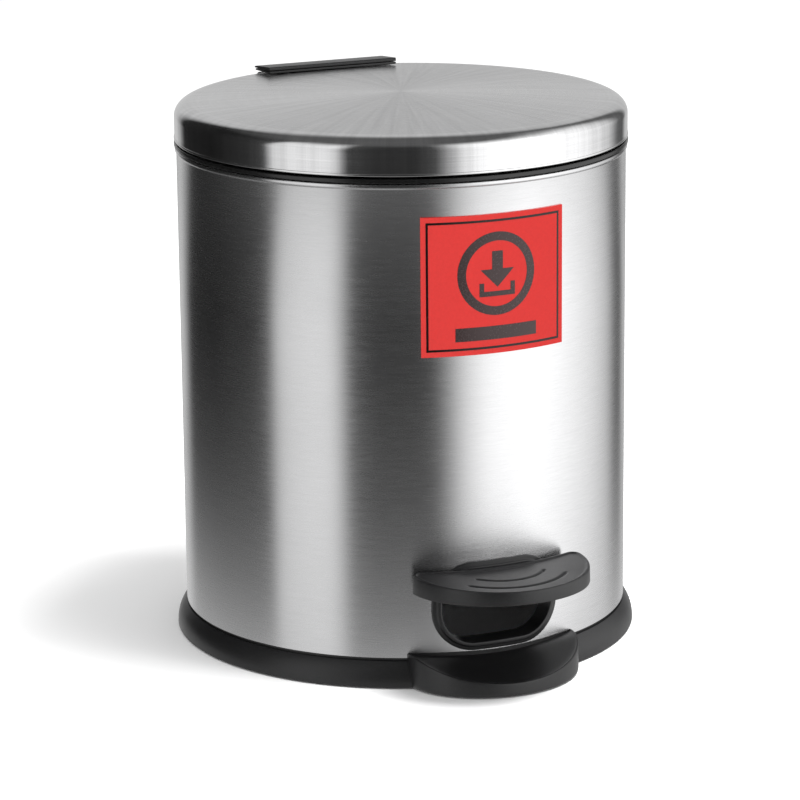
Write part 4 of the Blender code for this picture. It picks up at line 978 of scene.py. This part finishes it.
bands = []
for height in (rim - 22 * MM, rim - 28 * MM):
    bands += [(wall_radius(height) - 0.0 * MM, height - 1.4 * MM, 0.5 * MM),
              (wall_radius(height) + 0.5 * MM, height - 0.8 * MM, 0.3 * MM),
              (wall_radius(height) + 0.5 * MM, height + 0.8 * MM, 0.3 * MM),
              (wall_radius(height) - 0.0 * MM, height + 1.4 * MM, 0.5 * MM)]
bands = bands[4:] + bands[:4]
bucket_profile = [(0.0, bucket_foot + 1.0 * MM), (wall_foot - 14 * MM, bucket_foot + 1.0 * MM)] + soft([
    (wall_foot - 13 * MM, bucket_foot, 0.4 * MM),
    (wall_foot, bucket_foot, 2.5 * MM),
    *bands,
    (wall_top, rim - 6 * MM, 0.8 * MM),
    (lip_radius, rim - 5 * MM, 0.8 * MM),
    (lip_radius, rim, 1.2 * MM),
    (wall_top - wall, rim, 0.9 * MM),
    (wall_foot - wall, bucket_foot + 3.4 * MM, 3.0 * MM),
    (wall_foot - wall - 14 * MM, bucket_foot + 2.8 * MM, 0.0),
]) + [(0.0, bucket_foot + 2.8 * MM)]
settle(
    "bucket", skin(turn(bucket_profile, 180)), grey_moulding, "bucket", "inner_bucket", slot="grey_plastic"
)
bail_low, bail_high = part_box("bail_wire")
bail_z = (bail_low.z + bail_high.z) / 2
ear_face = lip_radius - 2.6 * MM
ear_side = soft([
    (-5 * MM, rim - 2 * MM, 0.0),
    (5 * MM, rim - 2 * MM, 0.0),
    (5 * MM, bail_z + 3.6 * MM, 3.5 * MM),
    (-5 * MM, bail_z + 3.6 * MM, 3.5 * MM),
], steps=8)
for side, sign in (("left", -1), ("right", 1)):
    near, far = sorted((sign * ear_face, sign * (ear_face + 2.4 * MM)))
    ear_solid = prism_along(ear_side, near, far)
    ear = settle("bucket_ear_" + side, ear_solid, grey_moulding, "bucket", "inner_bucket",
                 slot="grey_plastic")
    bail_hole = skin(turn_across([(1.8 * MM, -110 * MM), (1.8 * MM, 110 * MM)], 0.0, bail_z, 32))
    hollowed(ear, bail_hole, "bail_hole_" + side)
    edge_round(ear, 0.3 * MM, 2)

# %% Bail wire
wire_radius = (bail_high.z - bail_low.z) / 2
bail_radius = lip_radius - 3.8 * MM
grip_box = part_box("bail_grip")
grip_y = (grip_box[0].y + grip_box[1].y) / 2 - axis_y
inside_ear = ear_face - wire_radius - 0.3 * MM
flat_half = math.sqrt(bail_radius**2 - grip_y**2)
sweep_start = math.asin(flat_half / bail_radius)
sweep_end = math.pi / 2 - 12.0 * MM / bail_radius
side_points = [(flat_half - 6 * MM, grip_y), (flat_half - 2 * MM, grip_y)]
for step in range(1, 31):
    angle = sweep_start + (sweep_end - sweep_start) * step / 30
    side_points.append((bail_radius * math.sin(angle), -bail_radius * math.cos(angle)))
side_points += [(inside_ear, -6.5 * MM)]
side_points += [(inside_ear + 2.2 * MM - x, -2.2 * MM + y)
                for x, y in curve_points((0.0, 0.0), 2.2 * MM, 2.2 * MM, 0, 90, 6)]
side_points += [(lip_radius + 0.6 * MM, 0.0)]
wire_points = [(-x, y) for x, y in reversed(side_points)] + side_points
wire_curve = bpy.data.curves.new("bail", "CURVE")
wire_curve.dimensions = "3D"
wire_curve.bevel_depth = wire_radius
wire_curve.bevel_resolution = 4
wire_curve.use_fill_caps = True
spline = wire_curve.splines.new("POLY")
spline.points.add(len(wire_points) - 1)
for point, (x, y) in zip(spline.points, wire_points):
    point.co = (x, y + axis_y, bail_z, 1.0)
wire_curve.materials.append(plated_steel)
bail = bpy.data.objects.new("bail", wire_curve)
bpy.context.scene.collection.objects.link(bail)
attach(bail, "bail")
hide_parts("bail_wire")
print("bail wire:", len(wire_points), "points")

# %% Bail grip
grip_half = (grip_box[1].x - grip_box[0].x) / 2
grip_radius = (grip_box[1].z - grip_box[0].z) / 2
grip_bore = wire_radius + 0.15 * MM
grip_profile = [(grip_bore, -grip_half), (grip_radius - MM, -grip_half), (grip_radius, -grip_half + MM)]
for ring in range(7):
    centre = -grip_half + 6.5 * MM + ring * (2 * grip_half - 13 * MM) / 6
    grip_profile += [(grip_radius, centre - 1.2 * MM), (grip_radius - 0.7 * MM, centre - 0.5 * MM),
                     (grip_radius - 0.7 * MM, centre + 0.5 * MM), (grip_radius, centre + 1.2 * MM)]
grip_profile += [(grip_radius, grip_half - MM), (grip_radius - MM, grip_half), (grip_bore, grip_half)]
settle("grip", skin(turn_across(grip_profile, grip_y, bail_z), loop=True), grey_moulding, "bail", "bail_grip",
       slot="grey_plastic")

# %% [markdown]
# ## Screws, rod and small parts
# Every screw is the same pan head with a cross recess, so one function makes the pedal's and the lid's
# screws where the frame has them. The rod, guides, axle and clips keep the frame's own solids: they are
# plain bars and plates. So do the bracket's screws.


# %% Screws
def screw(name, node, direction, body):
    """Pan head screw: its head lies at the back of direction."""
    low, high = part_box(node)
    centre = (low + high) / 2
    centre.y -= axis_y
    length = abs((high - low).dot(direction)) if direction.z else (high - low).length * 0.72
    head_radius, head_height, shank = 3.0 * MM, 1.6 * MM, 1.5 * MM
    profile = soft([
        (0.0, -head_height, 0.0),
        (head_radius, -head_height, 1.3 * MM),
        (head_radius, 0.0, 0.2 * MM),
        (shank, 0.0, 0.0),
        (shank, length - head_height - 0.5 * MM, 0.0),
        (0.9 * MM, length - head_height, 0.0),
        (0.0, length - head_height, 0.0),
    ], closed=False)
    bm = skin(turn(profile, 40))
    turn_to = direction.to_track_quat("Z", "Y").to_matrix().to_4x4()
    start = centre - direction * (length / 2 - head_height)
    bm.transform(Matrix.Translation(start) @ turn_to)
    piece = settle(name, bm, plated_steel, body, node, slot="zinc")
    for quarter in (0.0, math.pi / 2):
        cross = prism_along([(-1.5 * MM, -0.25 * MM), (1.5 * MM, -0.25 * MM), (1.5 * MM, 0.25 * MM),
                             (-1.5 * MM, 0.25 * MM)], -head_height - MM, -head_height + 0.9 * MM, "Z")
        cross.transform(Matrix.Translation(start) @ turn_to @ Matrix.Rotation(quarter, 4, "Z"))
        hollowed(piece, cross, name + "_cross")


for side in ("left", "right"):
    screw("pedal_bolt_" + side, "pedal_screw_" + side, Vector((0, 0, 1)), "pedal")
    screw("lid_bolt_" + side, "lid_screw_" + side, Vector((0, 0, 1)), "lid")

# %% Finishes on the frame's own solids
KEPT = {
    "lever_axle": plated_steel,
    "axle_clip_left": plated_steel,
    "axle_clip_right": plated_steel,
    "rod_guide_lower": plated_steel,
    "rod_guide_upper": plated_steel,
    "bracket_screw_left": plated_steel,
    "bracket_screw_right": plated_steel,
    "hinge_pin": plated_steel,
    "hinge_pin_clip": plated_steel,
    # Painted shade: the lever takes the near-black steel that stands in for the shade inside the base.
    "pedal_arm": shade_black_steel,
    "lift_rod": plated_steel,
    "rod_foot": grey_moulding,
    "rod_tip": grey_moulding,
    "lid_bumper_front": pad_rubber,
    "lid_bumper_left": pad_rubber,
    "lid_bumper_right": pad_rubber,
    "foot_pad_front_left": pad_rubber,
    "foot_pad_front_right": pad_rubber,
    "foot_pad_rear_left": pad_rubber,
    "foot_pad_rear_right": pad_rubber,
}
for node, material in KEPT.items():
    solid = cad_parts[node]
    solid.data.materials.clear()
    solid.data.materials.append(material)
print("kept solids:", len(KEPT))

# %% [markdown]
# ## Label
# The label is a thin red film that follows the tube, printed in black with a thin border, a plain picture of
# a ring round an arrow and a tray, and a solid bar. Film and print are real, very thin solids, so the print
# stays sharp at any distance.

# %% Film
label_low, label_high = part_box("front_label")
label_radius = tube_radius + 0.3 * MM
label_half_angle = math.asin(label_high.x / (label_radius + 0.25 * MM))
label_middle = (label_low.z + label_high.z) / 2
label_half_height = (label_high.z - label_low.z) / 2


def wrapped(outline, inner, outer):
    """Thin solid on the tube from a flat outline: (distance round from the front, height)."""
    return [
        [(radius * math.sin(u / label_radius), -radius * math.cos(u / label_radius), v) for u, v in outline]
        for radius in (inner, outer)
    ]


def label_box(left, right, low, high, steps=24):
    """Flat box outline with enough points to follow the tube."""
    shares = [step / steps for step in range(steps + 1)]
    return [(left + (right - left) * s, low) for s in shares] + [(left + (right - left) * s, high)
                                                                for s in reversed(shares)]


label_half = label_half_angle * label_radius
film_outer = tube_radius + 0.42 * MM
film = wrapped(
    label_box(-label_half, label_half, label_middle - label_half_height, label_middle + label_half_height),
    tube_radius + 0.02 * MM, film_outer,
)
settle("label_film", skin(film), label_film, "bin", "front_label", slot="red_vinyl")


# %% Print
def printed(name, first, second, ink, parts=6):
    """Thin layer of ink between two lines that have the same number of points."""
    under, over = film_outer - 0.02 * MM, film_outer + 0.05 * MM
    shares = [part / parts for part in range(parts + 1)]
    rings = []
    for a, b in zip(first, second):
        flat = [(a[0] + (b[0] - a[0]) * share, a[1] + (b[1] - a[1]) * share) for share in shares]
        ring = []
        for radius, order in ((over, 1), (under, -1)):
            ring += [(radius * math.sin(u / label_radius), -radius * math.cos(u / label_radius), v)
                     for u, v in flat[::order]]
        rings.append(ring)
    settle(name, skin(rings), ink, "bin", slot="black_plastic")


def printed_bar(name, left, right, low, high, ink):
    """Straight bar of ink."""
    shares = [step / 32 for step in range(33)]
    low_line = [(left + (right - left) * share, low) for share in shares]
    high_line = [(u, high) for u, _ in low_line]
    printed(name, low_line, high_line, ink, 1)


border, line = 2.3 * MM, 1.0 * MM
left, right = -label_half + border, label_half - border
low, high = label_middle - label_half_height + border, label_middle + label_half_height - border
printed_bar("print_border_low", left, right, low, low + line, label_black)
printed_bar("print_border_high", left, right, high - line, high, label_black)
printed_bar("print_border_left", left, left + line, low + line, high - line, label_black)
printed_bar("print_border_right", right - line, right, low + line, high - line, label_black)

# %% [markdown]
# The picture on the label is generic: a ring, an arrow that points down into a tray, and a solid bar where
# a name would be. Nothing is written.

# %% Picture on the label
ring_centre = (0.0, label_middle + 4.6 * MM)
ring_outer, ring_inner_edge = 18.5 * MM, 14.6 * MM
outer_line = curve_points(ring_centre, ring_outer, ring_outer, 0, 180, 60)
inner_line = curve_points(ring_centre, ring_inner_edge, ring_inner_edge, 0, 180, 60)
printed("print_ring_high", outer_line, inner_line, label_grey)
outer_line = curve_points(ring_centre, ring_outer, ring_outer, 180, 360, 60)
inner_line = curve_points(ring_centre, ring_inner_edge, ring_inner_edge, 180, 360, 60)
printed("print_ring_low", outer_line, inner_line, label_grey)
arrow_top, arrow_neck, arrow_tip = (ring_centre[1] + rise * MM for rise in (10.0, 2.0, -6.0))
printed_bar("print_arrow_shaft", -2.6 * MM, 2.6 * MM, arrow_neck, arrow_top, label_grey)
head_line = [(8.0 * MM * (step / 24 - 1), arrow_neck) for step in range(49)]
tip_line = [(u, arrow_neck + (arrow_tip - arrow_neck) * (1 - abs(u) / (8.0 * MM))) for u, _ in head_line]
printed("print_arrow_head", head_line, tip_line, label_grey, 1)
tray = ring_centre[1] - 10.0 * MM
printed_bar("print_tray_floor", -8.5 * MM, 8.5 * MM, tray, tray + 2.2 * MM, label_grey)
for side, sign in (("left", -1), ("right", 1)):
    near, far = sorted((sign * 6.3 * MM, sign * 8.5 * MM))
    printed_bar("print_tray_" + side, near, far, tray + 2.2 * MM, tray + 6.0 * MM, label_grey)
printed_bar("print_bar", -19.5 * MM, 19.5 * MM, low + 4.0 * MM, low + 10.0 * MM, label_grey)

# %% [markdown]
# ## Floor, light and surroundings
# A polished tube shows its surroundings as bands down its length. So the world is a ring of soft light and
# dark bands at eye level, and darker overhead and below. The floor is a white sheet that takes only a soft
# shadow, and one large lamp from high on the right gives that shadow its side. In reflections the floor
# glows near the bin, a painted reflection of a lit floor, and farther out it lets the world's bands through.

# %% World
VIEW_AZIMUTH = -23.78122
BANDS = (
    (-180, 0.62), (-158, 0.66), (-150, 0.45), (-142, 0.02), (-110, 0.01), (-85, 0.03), (-72, 0.06),
    (-67, 0.95), (-50, 1.10), (-37, 1.15), (-32, 0.75), (-27, 0.06), (-12, 0.035), (8, 0.035), (17, 0.08),
    (24, 0.45), (32, 1.10), (44, 1.65), (70, 1.90), (90, 1.60), (112, 1.20), (130, 0.75), (141, 0.15),
    (151, 0.10), (158, 0.60), (180, 0.62),
)
BAND_TOP = 2.0
world = bpy.data.worlds.new("studio")
bpy.context.scene.world = world
world.use_nodes = True
sky = world.node_tree
background = sky.nodes["Background"]
place = sky.nodes.new("ShaderNodeTexCoord").outputs["Generated"]
parts = sky.nodes.new("ShaderNodeSeparateXYZ")
sky.links.new(place, parts.inputs[0])
front = math.radians(VIEW_AZIMUTH)
ahead = math_node(sky, "SUBTRACT", math_node(sky, "MULTIPLY", parts.outputs["X"], math.sin(front)),
                  math_node(sky, "MULTIPLY", parts.outputs["Y"], math.cos(front)))
aside = math_node(sky, "SUBTRACT", math_node(sky, "MULTIPLY", parts.outputs["X"], math.cos(front)),
                  math_node(sky, "MULTIPLY", parts.outputs["Y"], -math.sin(front)))
bearing = math_node(sky, "ARCTAN2", aside, ahead)
share = math_node(sky, "ADD", math_node(sky, "DIVIDE", bearing, math.tau), 0.5)
bands = sky.nodes.new("ShaderNodeValToRGB")
sky.links.new(share, bands.inputs[0])
ramp = bands.color_ramp
ramp.interpolation = "LINEAR"
while len(ramp.elements) > 1:
    ramp.elements.remove(ramp.elements[0])
for number, (degrees, level) in enumerate(BANDS):
    position = (degrees + 180) / 360
    element = ramp.elements[0] if number == 0 else ramp.elements.new(position)
    element.position = position
    element.color = (level / BAND_TOP, level / BAND_TOP, level / BAND_TOP, 1.0)
ring_light = math_node(sky, "MULTIPLY", bands.outputs[0], BAND_TOP)
overhead = between(sky, parts.outputs["Z"], 0.0, 1.0, 0.62, 0.88)
below = between(sky, parts.outputs["Z"], 0.0, 1.0, -0.45, -0.95)
with_sky = sky.nodes.new("ShaderNodeMix")
sky.links.new(overhead, with_sky.inputs["Factor"])
sky.links.new(ring_light, with_sky.inputs["A"])
with_sky.inputs["B"].default_value = 0.12
with_floor = sky.nodes.new("ShaderNodeMix")
sky.links.new(below, with_floor.inputs["Factor"])
sky.links.new(with_sky.outputs["Result"], with_floor.inputs["A"])
with_floor.inputs["B"].default_value = 0.15
paths = sky.nodes.new("ShaderNodeLightPath")
seen = sky.nodes.new("ShaderNodeMix")
sky.links.new(paths.outputs["Is Glossy Ray"], seen.inputs["Factor"])
sky.links.new(with_floor.outputs["Result"], seen.inputs["B"])
SOFT_LEVEL, BACKDROP_LIFT = 0.92, 0.15
lifted = math_node(sky, "MULTIPLY", paths.outputs["Is Camera Ray"], BACKDROP_LIFT)
plain = math_node(sky, "ADD", lifted, SOFT_LEVEL)
sky.links.new(plain, seen.inputs["A"])
sky.links.new(seen.outputs["Result"], background.inputs["Color"])
background.inputs["Strength"].default_value = 1.0

# %% Floor
floor_size = 6.0
bpy.ops.mesh.primitive_plane_add(size=floor_size, location=(0.0, 0.0, -0.0002))
floor = bpy.context.object
floor.name = "floor"
floor_material, floor_tree, floor_shader = new_material("floor_sheet")
floor_shader.inputs["Base Color"].default_value = (0.96, 0.96, 0.96, 1.0)
floor_shader.inputs["Roughness"].default_value = 0.9
floor_shader.inputs["Specular IOR Level"].default_value = 0.0
clear = floor_tree.nodes.new("ShaderNodeBsdfTransparent")
# Painted reflection: seen in reflections, the floor near the bin glows white as a lit floor would look;
# farther out glossy rays pass through it.
glow = floor_tree.nodes.new("ShaderNodeEmission")
glow.inputs["Strength"].default_value = 0.8
_, distance, _ = turned_coordinates(floor_tree)
fade = math_node(floor_tree, "DIVIDE", math_node(floor_tree, "SUBTRACT", base_radius, distance), 0.13)
glow_near_bin = math_node(floor_tree, "MULTIPLY", math_node(floor_tree, "EXPONENT", fade), 0.75, clamp=True)
painted_floor_reflection = floor_tree.nodes.new("ShaderNodeMixShader")
floor_tree.links.new(glow_near_bin, painted_floor_reflection.inputs[0])
floor_tree.links.new(clear.outputs[0], painted_floor_reflection.inputs[1])
floor_tree.links.new(glow.outputs[0], painted_floor_reflection.inputs[2])
floor_paths = floor_tree.nodes.new("ShaderNodeLightPath")
pick = floor_tree.nodes.new("ShaderNodeMixShader")
floor_tree.links.new(floor_paths.outputs["Is Glossy Ray"], pick.inputs[0])
floor_tree.links.new(floor_shader.outputs[0], pick.inputs[1])
floor_tree.links.new(painted_floor_reflection.outputs[0], pick.inputs[2])
floor_tree.links.new(pick.outputs[0], floor_tree.nodes["Material Output"].inputs["Surface"])
floor.data.materials.append(floor_material)

# %% Lamp
right_hand = Vector((math.cos(front), math.sin(front), 0.0))
toward = Vector((math.sin(front), -math.cos(front), 0.0))
lamp_data = bpy.data.lights.new("soft_lamp", "AREA")
lamp_data.energy = 28.0
lamp_data.size = 0.6
lamp = bpy.data.objects.new("soft_lamp", lamp_data)
bpy.context.scene.collection.objects.link(lamp)
LAMP_HEIGHT, LAMP_ASIDE, LAMP_AHEAD = 1.4, 0.48, 0.1
lamp.location = Vector((0.0, axis_y, LAMP_HEIGHT)) + right_hand * LAMP_ASIDE + toward * LAMP_AHEAD
lamp.rotation_euler = (Vector((0.0, axis_y, 0.1)) - lamp.location).to_track_quat("-Z", "Y").to_euler()
lamp.visible_glossy = False

# %% Camera
camera_data = bpy.data.cameras.new("camera")
camera_data.sensor_width = 36.0
camera_data.lens = 162.4805
camera = bpy.data.objects.new("camera", camera_data)
bpy.context.scene.collection.objects.link(camera)
camera.location = (-0.65279, -1.48710 + axis_y, 0.52815)
camera.rotation_euler = (math.radians(75.38348), math.radians(0.52333), math.radians(VIEW_AZIMUTH))
bpy.context.scene.camera = camera
bpy.context.scene.view_settings.view_transform = "Standard"
